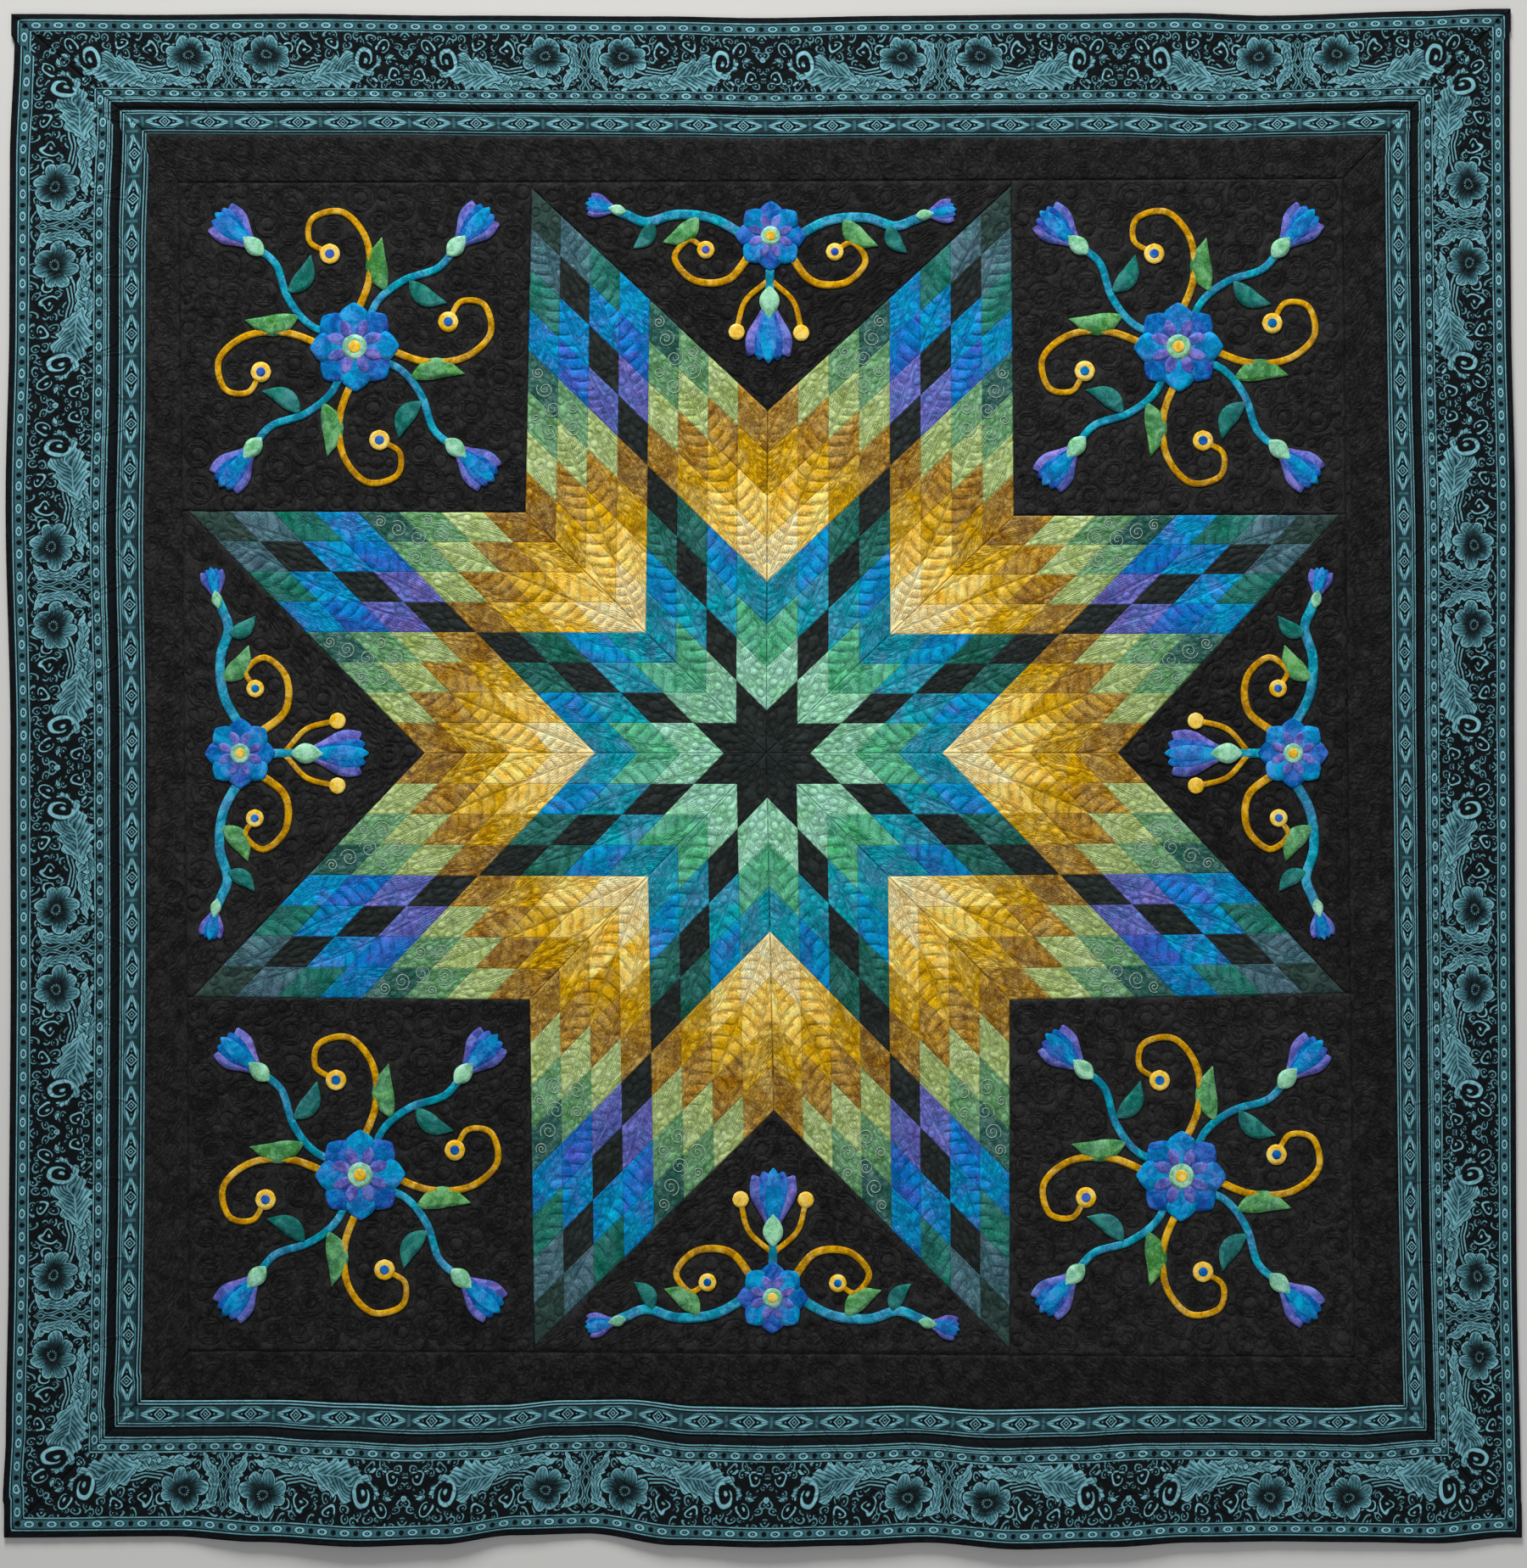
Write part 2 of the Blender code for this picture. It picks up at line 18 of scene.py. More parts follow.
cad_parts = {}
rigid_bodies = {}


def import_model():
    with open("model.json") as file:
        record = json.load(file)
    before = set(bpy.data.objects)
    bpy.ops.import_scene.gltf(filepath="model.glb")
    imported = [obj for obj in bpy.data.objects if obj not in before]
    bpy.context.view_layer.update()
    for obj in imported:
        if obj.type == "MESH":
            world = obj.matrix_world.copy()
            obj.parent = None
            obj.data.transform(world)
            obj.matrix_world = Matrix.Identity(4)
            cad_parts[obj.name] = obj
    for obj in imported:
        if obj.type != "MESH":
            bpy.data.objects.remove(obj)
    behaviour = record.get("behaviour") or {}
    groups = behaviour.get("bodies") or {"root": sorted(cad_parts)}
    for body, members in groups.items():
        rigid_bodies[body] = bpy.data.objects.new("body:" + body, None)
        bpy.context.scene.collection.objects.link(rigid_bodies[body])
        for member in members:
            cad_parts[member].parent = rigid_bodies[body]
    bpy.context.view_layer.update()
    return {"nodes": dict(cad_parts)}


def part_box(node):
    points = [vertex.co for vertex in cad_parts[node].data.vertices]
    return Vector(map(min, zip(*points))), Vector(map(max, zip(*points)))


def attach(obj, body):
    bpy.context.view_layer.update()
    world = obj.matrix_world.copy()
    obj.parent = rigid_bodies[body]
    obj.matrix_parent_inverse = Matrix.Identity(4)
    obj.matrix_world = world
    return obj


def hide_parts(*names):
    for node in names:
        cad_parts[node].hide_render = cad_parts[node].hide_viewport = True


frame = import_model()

MM = 0.001
BODY = "root"
print("solids:", len(frame["nodes"]), "body:", BODY)

# %% [markdown]
# ## The draft of the star
#
# A quilt is drafted on paper first. The star has eight large diamonds round its centre.
# Each is cut from strips that finish 1 3/4 inch wide, eight rows by eight. All else
# follows from that strip: the notches between the points, the tips, and the square
# block round them. Sewn points never meet the draft quite, so a short table says how
# far each one strays. The same numbers shaped the solids, so the cloth fits them.

# %% Sizes of the draft, in millimetres
STRIP = 44.45
ROWS = 8
SMALL_SIDE = STRIP / math.sin(math.radians(45))
DIAMOND_SIDE = ROWS * SMALL_SIDE
TIP_NEAR = DIAMOND_SIDE * math.sin(math.radians(45))
TIP_FLOAT = 8.0
BLOCK = DIAMOND_SIDE + TIP_NEAR + TIP_FLOAT
INNER_BORDER = 67.0
NARROW_BORDER = 40.0
WIDE_BORDER = 152.0
FIELD = BLOCK + INNER_BORDER
HEM = FIELD + NARROW_BORDER + WIDE_BORDER
RING_END = HEM - BLOCK
BINDING_FACE = 9.0
FLANGE = RING_END - BINDING_FACE
print(f"diamond side {DIAMOND_SIDE:.1f}, block {BLOCK:.1f}, hem {HEM:.1f}")

# %% How far sewn points stray, to the right and up
CENTRE_STRAY = (9, 28)
NOTCH_STRAY = ((27, 28), (21, 25), (11, 34), (7, 30), (5, 28), (15, 19), (20, 3), (13, 19))
TIP_STRAY = ((3, 27), (18, 15), (15, 12), (9, 32), (20, 23), (23, 12), (12, 8), (6, 29))
BLOCK_STRAY = ((27, 14), (8, 5), (1, 17), (1, 11))
FIELD_STRAY = ((23, 9), (13, 2), (-2, 16), (19, 18))
HEM_STRAY = ((14, 0), (-6, 0), (-6, 14), (8, 6))


def rays(angle):
    """Returns the unit vector of an angle, or of each angle in a row."""
    return np.stack([np.cos(angle), np.sin(angle)], -1)


def unit(rows):
    """Returns the direction of a vector, or of each vector in a row."""
    return rows / np.maximum(np.hypot(rows[..., 0], rows[..., 1]), 1e-6)[..., None]


def left_of(ahead):
    """Returns the vector turned a quarter to the left."""
    return np.stack([-ahead[..., 1], ahead[..., 0]], -1)


def turned_points(reach, first_angle, strays):
    """Returns eight points round the centre, each with its stray."""
    return rays(np.radians(first_angle + 45.0 * np.arange(8))) * reach + np.array(strays)


def square_points(half, strays):
    """Returns the four corners of a ring from the lower left, counter-clockwise."""
    return np.array([(-half, -half), (half, -half), (half, half), (-half, half)]) + np.array(strays)


LONG_HALF = DIAMOND_SIDE * math.cos(math.radians(22.5))
WIDE_HALF = DIAMOND_SIDE * math.sin(math.radians(22.5))
centre = np.array(CENTRE_STRAY, float)
notches = turned_points(DIAMOND_SIDE, 0.0, NOTCH_STRAY)
tips = turned_points(2 * LONG_HALF, 22.5, TIP_STRAY)
print(f"the tips reach {2 * LONG_HALF:.0f} mm from the centre")

# %% Move the draft onto the solids, whose middle is over the origin
low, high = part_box("star_diamond_1")
drafted = np.array([centre, notches[0], tips[0], notches[1]])
solid_middle = np.array([(low.x + high.x) / 2, (low.y + high.y) / 2]) / MM
shift = (drafted.min(0) + drafted.max(0)) / 2 - solid_middle
centre, notches, tips = centre - shift, notches - shift, tips - shift
block_corners = square_points(BLOCK, BLOCK_STRAY) - shift
field_corners = square_points(FIELD, FIELD_STRAY) - shift
hem_corners = square_points(HEM, HEM_STRAY) - shift
print("the draft moves by", shift.round(2))

# %% [markdown]
# ## The borders and the soft hem
#
# A border place is given by its side, by t, which runs from -1 to 1 along that side,
# and by its distance out from the star block. The hem lies in low waves, so a table
# for each side says how far it reaches out and lifts there, and a smooth step eases
# from one row to the next.

# %% The sides and the waves of the hem
SIDES = ("bottom", "right", "top", "left")
OUTWARD = dict(zip(SIDES, np.array([(0, -1), (1, 0), (0, 1), (-1, 0)], float)))
SIDE_TIPS = {"bottom": (5, 6), "right": (7, 0), "top": (1, 2), "left": (3, 4)}
HEM_WAVES = {  # rows of a place along the side, the reach outward and the lift
    "bottom": ((-1110, 0, 0), (-880, -2, 0), (-750, 5, 6), (-600, 11, 12),
               (-480, 8, 10), (-370, -4, 3), (-260, -6, 0), (-130, 10, 6),
               (0, 12, 11), (130, 10, 8), (240, 6, 6), (380, 15, 11),
               (510, 12, 10), (640, 6, 5), (760, 5, 3), (880, 6, 3),
               (1000, 8, 2), (1110, 0, 0)),
    "right": ((-1077, -1, 0), (-724, -5, 0), (-347, -4, 0), (30, -3, 2),
              (407, 0, 4), (659, -3, 1), (910, -3, 0), (1090, -2, 0)),
    "top": ((-1090, 0, 0), (-900, -2, 0), (-700, -2, 3), (-450, -5, 1),
            (-150, -7, 0), (0, -10, 0), (200, -8, 2), (450, -7, 4),
            (628, -5, 2), (760, -9, 0), (1000, -3, 0), (1090, 0, 0)),
    "left": ((-1077, 2, 0), (-976, -2, 0), (-724, -5, 0), (-347, -6, 0),
             (30, -4, 0), (407, 4, 4), (659, 0, 3), (910, 1, 0),
             (1090, -5, 0)),
}


def edge_point(side, tip):
    """Returns the point of the block's edge just beyond a tip of the star."""
    return tips[tip] + OUTWARD[side] * TIP_FLOAT


def between(first, second, share):
    """Returns points between two points, or two rows of points, at each share."""
    return first + (second - first) * np.asarray(share)[..., None]


def hem_wave(side, along):
    """Returns the reach and the lift of the hem at places along a side."""
    rows = np.array(HEM_WAVES[side], float)
    index = np.clip(np.searchsorted(rows[:, 0], along) - 1, 0, len(rows) - 2)
    part = (along - rows[index, 0]) / (rows[index + 1, 0] - rows[index, 0])
    part = np.clip(part, 0.0, 1.0)
    ease = part * part * (3.0 - 2.0 * part)
    wave = rows[index, 1:] + (rows[index + 1, 1:] - rows[index, 1:]) * ease[:, None]
    wave[(along <= rows[0, 0]) | (along >= rows[-1, 0])] = 0.0
    return wave[:, 0], wave[:, 1]


def border_places(side, t, out):
    """Returns the flat place and the lift of border points."""
    t, out = np.broadcast_arrays(np.asarray(t, float), np.asarray(out, float))
    index = SIDES.index(side)
    after = (index + 1) % 4
    first, second = SIDE_TIPS[side]
    bend = TIP_NEAR / BLOCK
    stops = np.array([block_corners[index], edge_point(side, first),
                      edge_point(side, second), block_corners[after]])
    bends = (-1, -bend, bend, 1)
    block_edge = np.stack([np.interp(t, bends, stops[:, axis]) for axis in (0, 1)], -1)
    field_edge = between(field_corners[index], field_corners[after], (t + 1) / 2)
    hem_edge = between(hem_corners[index], hem_corners[after], (t + 1) / 2)
    inside = block_edge + (field_edge - block_edge) * (out / INNER_BORDER)[..., None]
    beyond = (out - INNER_BORDER) / (RING_END - INNER_BORDER)
    outside = field_edge + (hem_edge - field_edge) * beyond[..., None]
    flat = np.where((out <= INNER_BORDER)[..., None], inside, outside)
    along = -t * HEM if side in ("top", "left") else t * HEM
    reach, lift = hem_wave(side, along.ravel())
    part = out / RING_END
    flat = flat + OUTWARD[side] * (reach.reshape(t.shape) * (1 - (1 - part) ** 3))[..., None]
    return flat, lift.reshape(t.shape) * part * part * (3 - 2 * part)


print("bottom hem's middle:", border_places("bottom", 0.0, RING_END)[0].round(1))

# %% [markdown]
# ## The camera
#
# The camera stands high above the middle of the quilt and looks almost straight down.
# It is set first, so that every later step can be judged in the same view.

# %% Camera
CAMERA_DISTANCE = 4.5
CAMERA_TILT = 1.72
SENSOR = 36.0
LENS = 69.74
VIEW_POINT = (4.8, -17.5)

bpy.ops.object.select_all(action="DESELECT")
aim = Vector(((VIEW_POINT[0] - shift[0]) * MM, (VIEW_POINT[1] - shift[1]) * MM, 0.0))
tilt = math.radians(CAMERA_TILT)
stand = aim + Vector((0.0, -math.sin(tilt), math.cos(tilt))) * CAMERA_DISTANCE
bpy.ops.object.camera_add(location=stand, rotation=(tilt, 0.0, 0.0))
camera = bpy.context.object
camera.data.sensor_width = SENSOR
camera.data.lens = LENS
camera.data.clip_end = 50.0
bpy.context.scene.camera = camera
print("camera stands at", [round(value, 3) for value in stand])

# %% [markdown]
# ## Quilting lines
#
# Quilting is the stitching that holds the three layers together. Between its lines the
# wadding swells, and that relief is what makes a quilt look soft. It could be painted as
# bump alone, but then the edges would stay flat in a raking light. So the lines are drawn
# first as curves, each cloth vertex finds its distance to the nearest line, and the cloth
# rises with that distance. The distance is also kept on the mesh, and the materials use
# it to press the stitches in.

# %% Helpers for curves in the plane
LINE_STEP = 2.0


def smooth_curve(points, count):
    """Returns count + 1 points on a smooth curve through the points."""
    points = np.array(points, float)
    spans = len(points) - 1
    ends = np.vstack([points[0] * 2 - points[1], points, points[-1] * 2 - points[-2]])
    place = np.linspace(0.0, spans, count + 1)
    span = np.minimum(place.astype(int), spans - 1)
    t = (place - span)[:, None]
    p0, p1, p2, p3 = (ends[span + offset] for offset in range(4))
    return (p1 * 2 + (p2 - p0) * t + (p0 * 2 - p1 * 5 + p2 * 4 - p3) * t ** 2
            + (p1 * 3 - p0 - p2 * 3 + p3) * t ** 3) / 2


def circle_line(middle, radius):
    """Returns a closed circle as a row of points."""
    angle = np.linspace(0.0, math.tau, max(8, int(math.tau * radius / LINE_STEP)) + 1)
    return np.array(middle) + rays(angle) * radius


def spiral_line(middle, radius, turns=1.75, start=0.0, hand=1):
    """Returns a spiral that winds in from its radius."""
    count = max(10, int(math.pi * radius * turns / LINE_STEP))
    share = np.linspace(0.0, 1.0, count + 1)
    angle = start + hand * math.tau * turns * share
    reach = radius * (1.0 - 0.85 * share)
    return np.array(middle) + rays(angle) * reach[:, None]


def sampled(line):
    """Returns points and directions at even steps along a line."""
    step = np.diff(line, axis=0)
    length = np.hypot(step[:, 0], step[:, 1])
    reach = np.concatenate([[0.0], np.cumsum(length)])
    count = max(2, int(reach[-1] / LINE_STEP))
    at = np.linspace(0.0, reach[-1], count)
    spots = np.stack([np.interp(at, reach, line[:, axis]) for axis in (0, 1)], 1)
    return np.hstack([spots, unit(np.gradient(spots, axis=0))])


print("points on a 10 mm circle:", len(circle_line((0.0, 0.0), 10.0)))


# %% Find the nearest line
def near_tree(spots):
    """Returns a tree that finds the nearest of many flat spots."""
    tree = KDTree(len(spots))
    for index, (x, y) in enumerate(spots):
        tree.insert((x, y, 0.0), index)
    tree.balance()
    return tree


class LineBook:
    """The quilting lines of a panel, ready to be asked for the nearest one."""

    def __init__(self, lines):
        self.rows = np.vstack([sampled(line) for line in lines])
        self.tree = near_tree(self.rows[:, :2])

    def away(self, x, y):
        return self.tree.find((x, y, 0.0))[2]

    def measure(self, spots):
        """Returns the distance and the signed distance to the nearest line."""
        away = np.empty(len(spots))
        nearest = np.empty(len(spots), int)
        for index, (x, y) in enumerate(spots):
            found = self.tree.find((x, y, 0.0))
            away[index] = found[2]
            nearest[index] = found[1]
        row = self.rows[nearest]
        gap = spots - row[:, :2]
        across = row[:, 2] * gap[:, 1] - row[:, 3] * gap[:, 0]
        return away, across


trial = LineBook([np.array([(-20.0, 0.0), (20.0, 0.0)])])
print("a place 3 mm beside a line is", round(trial.away(0.0, 3.0), 1), "mm from its samples")


# %% Pebbles: circles packed between what is already drawn
RINGED = 11.0


def packed_circles(candidates, sizes, clear_of, spare=0.6):
    """Returns circles at candidate spots that touch neither each other nor a line."""
    middles = np.zeros((len(candidates), 2))
    radii = np.zeros(len(candidates))
    count = 0
    share = len(candidates) // len(sizes)
    for index, spot in enumerate(candidates):
        radius = sizes[min(index // share, len(sizes) - 1)]
        if count:
            gap = np.hypot(*(middles[:count] - spot).T) - radii[:count]
            room = gap.min() - spare
            if room < radius * 0.7:
                continue
            radius = min(radius, room)
        if clear_of(spot[0], spot[1]) < radius + spare:
            continue
        middles[count] = spot
        radii[count] = radius
        count += 1
    return list(zip(middles[:count], radii[:count]))


def pebble_lines(circles, chance):
    """Returns the outlines of the circles, with a ring or a spiral in the large ones."""
    lines = []
    for middle, radius in circles:
        lines.append(circle_line(middle, radius))
        if radius > RINGED:
            if chance.random() < 0.5:
                lines.append(circle_line(middle, radius * 0.5))
            else:
                lines.append(spiral_line(middle, radius * 0.72, 1.4, chance.random() * math.tau))
    return lines


print("pebbles get a ring or a spiral from a radius of", RINGED, "mm")


# %% Plumes: a curved spine with round lobes
LOBE = ((0.0, 0.0), (0.1, 0.36), (0.28, 0.72), (0.52, 0.97), (0.78, 1.0), (0.9, 0.84), (0.8, 0.64))
HEART_SHARES = (0.3, 0.65, 1.0)
SHORTEST_LOBE = 7.0
lobe_hearts = []  # circles inside the lobes that pebbles keep out of


def plume_lines(spine, lobe_length, hands=(1, -1)):
    """Returns a plume's lines; lobe_length gives the lobes' reach at a share of the spine."""
    rows = sampled(smooth_curve(spine, 60))
    lines = [rows[:, :2]]
    step_end = len(rows) * LINE_STEP
    for hand in hands:
        place = 6.0
        while place < step_end - 8.0:
            row = rows[int(place / LINE_STEP)]
            root, ahead = row[:2], row[2:]
            reach = lobe_length(place / step_end)
            if reach > SHORTEST_LOBE:
                aside = left_of(ahead) * hand
                lobe = [root + ahead * (u * reach) + aside * (v * reach) for u, v in LOBE]
                lines.append(smooth_curve(lobe, 14))
                for share in HEART_SHARES:
                    heart = root + (ahead * 0.62 + aside * 0.76) * (reach * share)
                    lobe_hearts.append((heart[0], heart[1], 0.24 * reach + 3.0))
            place += max(8.0, 0.5 * reach)
    return lines


print("points that shape a lobe:", len(LOBE))

# %% [markdown]
# The star's diamonds all carry the same quilting. It is drawn once in the diamond's own
# frame: X runs along its long axis from the centre of the star, Y across it. Twin plumes
# follow the dark diamonds on the axis, a large plume between two low ones fills each side
# quarter, spirals end it, and pebbles fill what is left. Both halves mirror each other,
# so the relief of neighbouring diamonds meets at the same height.

# %% The twin plumes beside a diamond's axis
SLOPE = math.tan(math.radians(22.5))
QUARTER_LONG = LONG_HALF / 2
QUARTER_WIDE = WIDE_HALF / 2
AXIS_FREE = 25.0
AXIS_SPANS = ((118.0, 425.0), (505.0, 858.0))
EDGE_ROW = ((-74.0, 63.0), (0.0, 93.0), (74.0, 63.0))
LONGEST_LOBE = 38.0
EDGE_LOBE = 26.0


def axis_plumes():
    """Returns the twin plumes beside the axis, and lobes along the quarter's outer edge."""
    lines = []
    for start, end in AXIS_SPANS:
        middle = LONG_HALF * (0.5 if start < LONG_HALF else 1.5)

        def lobe_length(share, start=start, end=end, middle=middle):
            x = start + (end - start) * share
            room = (QUARTER_LONG - abs(x - middle)) * SLOPE - AXIS_FREE
            return min(LONGEST_LOBE, room * 0.72 + 12.0)

        def edge_length(share):
            return EDGE_LOBE * math.sin(math.pi * (0.12 + 0.76 * share))

        for hand in (1, -1):
            spine = [(start, hand * (AXIS_FREE - 8)),
                     ((start + end) / 2, hand * (AXIS_FREE + 3)),
                     (end, hand * (AXIS_FREE - 12))]
            lines += plume_lines(spine, lobe_length, (hand,))
            outer = [(middle + ahead, hand * aside) for ahead, aside in EDGE_ROW]
            lines += plume_lines(outer, edge_length, (-hand,))
    return lines


print("stretches of twin plumes beside the axis:", len(AXIS_SPANS))

# %% The plumes and spirals of its side quarters
SPIRALS = ((96.0, 80.0, 14.0), (104.0, 113.0, 14.0), (134.0, 97.0, 14.0), (124.0, 68.0, 9.0),
           (166.0, 96.0, 13.0), (130.0, 125.0, 8.0), (194.0, 96.0, 9.0))
SPIRAL_TURNS = 1.75
SIDE_EDGE = ((-104.0, 0.5762), (-20.0, 0.8442), (62.0, 0.6164))
SIDE_EDGE_LOBE = 27.0


def side_spiral(middle, radius, hand):
    """Returns a spiral of a side quarter; hand says in which half it lies."""
    return spiral_line(middle, radius, SPIRAL_TURNS, 0.6 * hand, hand)


def spiral_places():
    """Returns the spirals at the outer end of both side quarters."""
    found = []
    for outward, aside, radius in SPIRALS:
        for hand in (1, -1):
            found.append(((LONG_HALF + outward, hand * aside), radius, hand))
    return found


def side_plumes():
    """Returns the plume of each side quarter and the spirals at its outer end."""
    lines = []
    for hand in (1, -1):
        spine = [(LONG_HALF - 0.92 * QUARTER_LONG, hand * QUARTER_WIDE),
                 (LONG_HALF - 0.3 * QUARTER_LONG, hand * QUARTER_WIDE * 1.03),
                 (LONG_HALF + 0.38 * QUARTER_LONG, hand * QUARTER_WIDE)]

        def side_length(share):
            return 12.0 + 27.0 * math.sin(math.pi * min(share * 0.85 + 0.1, 1.0))

        def edge_length(share):
            return SIDE_EDGE_LOBE * math.sin(math.pi * (0.14 + 0.72 * share))

        lines += plume_lines(spine, side_length)
        for way in (-1, 1):
            edge = [(LONG_HALF + ahead, hand * QUARTER_WIDE * (1.0 + way * aside))
                    for ahead, aside in SIDE_EDGE]
            lines += plume_lines(edge, edge_length, (-way * hand,))
    return lines + [side_spiral(*spiral) for spiral in spiral_places()]


print("spirals on a diamond:", len(spiral_places()))


# %% All quilting of a star diamond
PEBBLES = (6.6, 5.6, 4.8, 4.0)
TRIES = 15000


def diamond_lines(seed):
    """Returns all quilting lines of a star diamond; both halves mirror each other."""
    chance = np.random.default_rng(seed)
    lines = axis_plumes() + side_plumes()
    book = LineBook(lines)
    spots = np.stack([chance.random(TRIES) * 2 * LONG_HALF, chance.random(TRIES) * WIDE_HALF], 1)
    edge_gap = np.minimum(spots[:, 0], 2 * LONG_HALF - spots[:, 0]) * SLOPE - spots[:, 1]
    inside = (edge_gap > 5) & (spots[:, 1] > 4)
    for x, y, radius in lobe_hearts:
        inside &= np.hypot(spots[:, 0] - x, spots[:, 1] - y) > radius
    for middle, radius in packed_circles(spots[inside], PEBBLES, book.away):
        lines.append(circle_line(middle, radius))
        lines.append(circle_line(middle * (1, -1), radius))
    return lines


star_book = LineBook(diamond_lines(seed=3))
print("samples on a diamond's lines:", len(star_book.rows))

# %% [markdown]
# ## Cotton
#
# The quilt is made of hand-dyed cottons, so no patch has one flat colour. The material
# mixes three tones of a dye with soft noise, as the dye bath does, and shifts it on every
# cut patch. Fine waves and noise stand for the yarns. The distance to the nearest stitch
# dents the quilting lines and darkens them with painted shade mixed with the thread's colour,
# and on patchwork a second dent, with a little painted shade, marks each seam.

# %% A value in a node tree that plain sums can be written with
class Term:
    """A number in a material: sums of Terms become Math nodes."""

    def __init__(self, tree, socket):
        self.tree = tree
        self.socket = socket

    def math(self, operation, *others):
        inputs = dict(enumerate((self,) + others))
        return Term(self.tree, new_node(self.tree, "Math", inputs, operation=operation).outputs[0])

    def __add__(self, other):
        return self.math("ADD", other)

    def __sub__(self, other):
        return self.math("SUBTRACT", other)

    def __mul__(self, other):
        return self.math("MULTIPLY", other)

    def __neg__(self):
        return self.math("MULTIPLY", -1.0)

    def abs(self):
        return self.math("ABSOLUTE")

    def fract(self):
        return self.math("FRACT")

    def peak(self, other):
        return self.math("MAXIMUM", other)

    def least(self, other):
        return self.math("MINIMUM", other)

    def wave(self, length):
        """Returns 0 to 1 and back over each length."""
        return self.math("MULTIPLY", math.tau / length).math("COSINE") * 0.5 + 0.5

    def rise(self, start, end):
        """Returns 0 before start, 1 after end, and a smooth step between."""
        inputs = {"Value": self, "From Min": start, "From Max": end}
        node = new_node(self.tree, "MapRange", inputs, interpolation_type="SMOOTHSTEP")
        return Term(self.tree, node.outputs["Result"])

    def fall(self, start, end):
        return -self.rise(start, end) + 1.0

    def inside(self, start, end, soft=0.5):
        """Returns 1 between start and end."""
        return self.rise(start - soft, start + soft) * self.fall(end - soft, end + soft)


def new_node(tree, kind, inputs, **settings):
    """Adds a node; each of its inputs is linked to a socket or set to a value."""
    node = tree.nodes.new("ShaderNode" + kind)
    for name, value in settings.items():
        setattr(node, name, value)
    for name, value in inputs.items():
        if isinstance(value, Term):
            value = value.socket
        if isinstance(value, bpy.types.NodeSocket):
            tree.links.new(value, node.inputs[name])
        else:
            node.inputs[name].default_value = value
    return node


print("sums that a Term can do:", [name for name in dir(Term) if name[0] != "_"])


# %% Colours
def linear(channel):
    """Returns a colour channel of 0 to 255 as the light value that shaders use."""
    value = channel / 255.0
    if value <= 0.04045:
        return value / 12.92
    return ((value + 0.055) / 1.055) ** 2.4


def paint(colour, gain=1.0):
    """Returns a colour of 0 to 255 as a shader's colour; gain lightens it."""
    return [min(linear(channel) * gain, 0.95) for channel in colour] + [1.0]


print("mid grey is", round(linear(128), 3), "as light")

# %% Nodes that every cloth shares
WEAVE_PITCH = 0.0011
# How dark the quilting lines get: painted shade in the grooves, mixed with the thread's colour.
THREAD_AND_SHADE_DARK = 0.46
GROOVE_DEPTH = 1.25
STAR_GAIN = 1.34
# The colour that the quilting lines are darkened towards: painted shade mixed with the thread's
# colour.
GROOVE_TINT = (0.25, 0.25, 0.27, 1.0)
BUMP = 0.9
SHINE = 0.1


def attribute(tree, name):
    """Returns a number that is stored on the mesh."""
    return Term(tree, new_node(tree, "Attribute", {}, attribute_name=name).outputs["Fac"])


def noise(tree, place, scale, detail=4.0, roughness=0.6, distortion=0.0, shift_by=None):
    """Returns soft noise from 0 to 1; shift_by moves to another part of it."""
    inputs = {"Vector": place, "Scale": scale, "Detail": detail, "Roughness": roughness,
              "Distortion": distortion}
    if shift_by:
        inputs["W"] = shift_by
    node = new_node(tree, "TexNoise", inputs, noise_dimensions="4D" if shift_by else "3D")
    return Term(tree, node.outputs["Fac"])


def ramp(tree, value, stops):
    """Returns a colour socket that runs through the stops."""
    node = new_node(tree, "ValToRGB", {"Fac": value})
    elements = node.color_ramp.elements
    while len(elements) < len(stops):
        elements.new(0.5)
    for element, (position, colour) in zip(elements, stops):
        element.position = position
        element.color = colour
    return node.outputs["Color"]


def new_cloth_material(name, roughness=0.88):
    """Returns a new material, its node tree, its shader and the object coordinates."""
    material = bpy.data.materials.new(name)
    material.use_nodes = True
    tree = material.node_tree
    shader = tree.nodes["Principled BSDF"]
    shader.inputs["Roughness"].default_value = roughness
    shader.inputs["Specular IOR Level"].default_value = SHINE
    place = tree.nodes.new("ShaderNodeTexCoord").outputs["Object"]
    return material, tree, shader, place


def finish_cloth(tree, shader, colour, darkening, height):
    """Darkens the colour with painted shade and the thread's colour, dents the surface, and feeds
    both to the shader.
    """
    mix = new_node(tree, "Mix", {0: darkening, 6: colour, 7: GROOVE_TINT}, data_type="RGBA",
                   blend_type="MULTIPLY")
    bump = new_node(tree, "Bump", {"Strength": BUMP, "Distance": MM, "Height": height})
    tree.links.new(mix.outputs[2], shader.inputs["Base Color"])
    tree.links.new(bump.outputs["Normal"], shader.inputs["Normal"])


print("light that stitched grooves keep:", GROOVE_TINT[:3])


# %% Marks of stitches, yarns, seams and dye
def groove_marks(tree):
    """Returns how far the quilting lines dent the cloth, and how far painted shade and thread
    colour darken it.
    """
    gap = attribute(tree, "across").abs().peak(attribute(tree, "away") - 2.6)
    # The second number is painted shade in the groove, mixed with the thread's colour.
    return gap.fall(0.0, 3.4) * GROOVE_DEPTH, gap.fall(0.2, 2.0) * THREAD_AND_SHADE_DARK


def axes(tree, socket):
    """Returns the X and the Y of a vector."""
    split = new_node(tree, "SeparateXYZ", {0: socket})
    return Term(tree, split.outputs["X"]), Term(tree, split.outputs["Y"])


def map_axes(tree, name):
    """Returns both places on a map of the surface."""
    return axes(tree, new_node(tree, "UVMap", {}, uv_map=name).outputs["UV"])


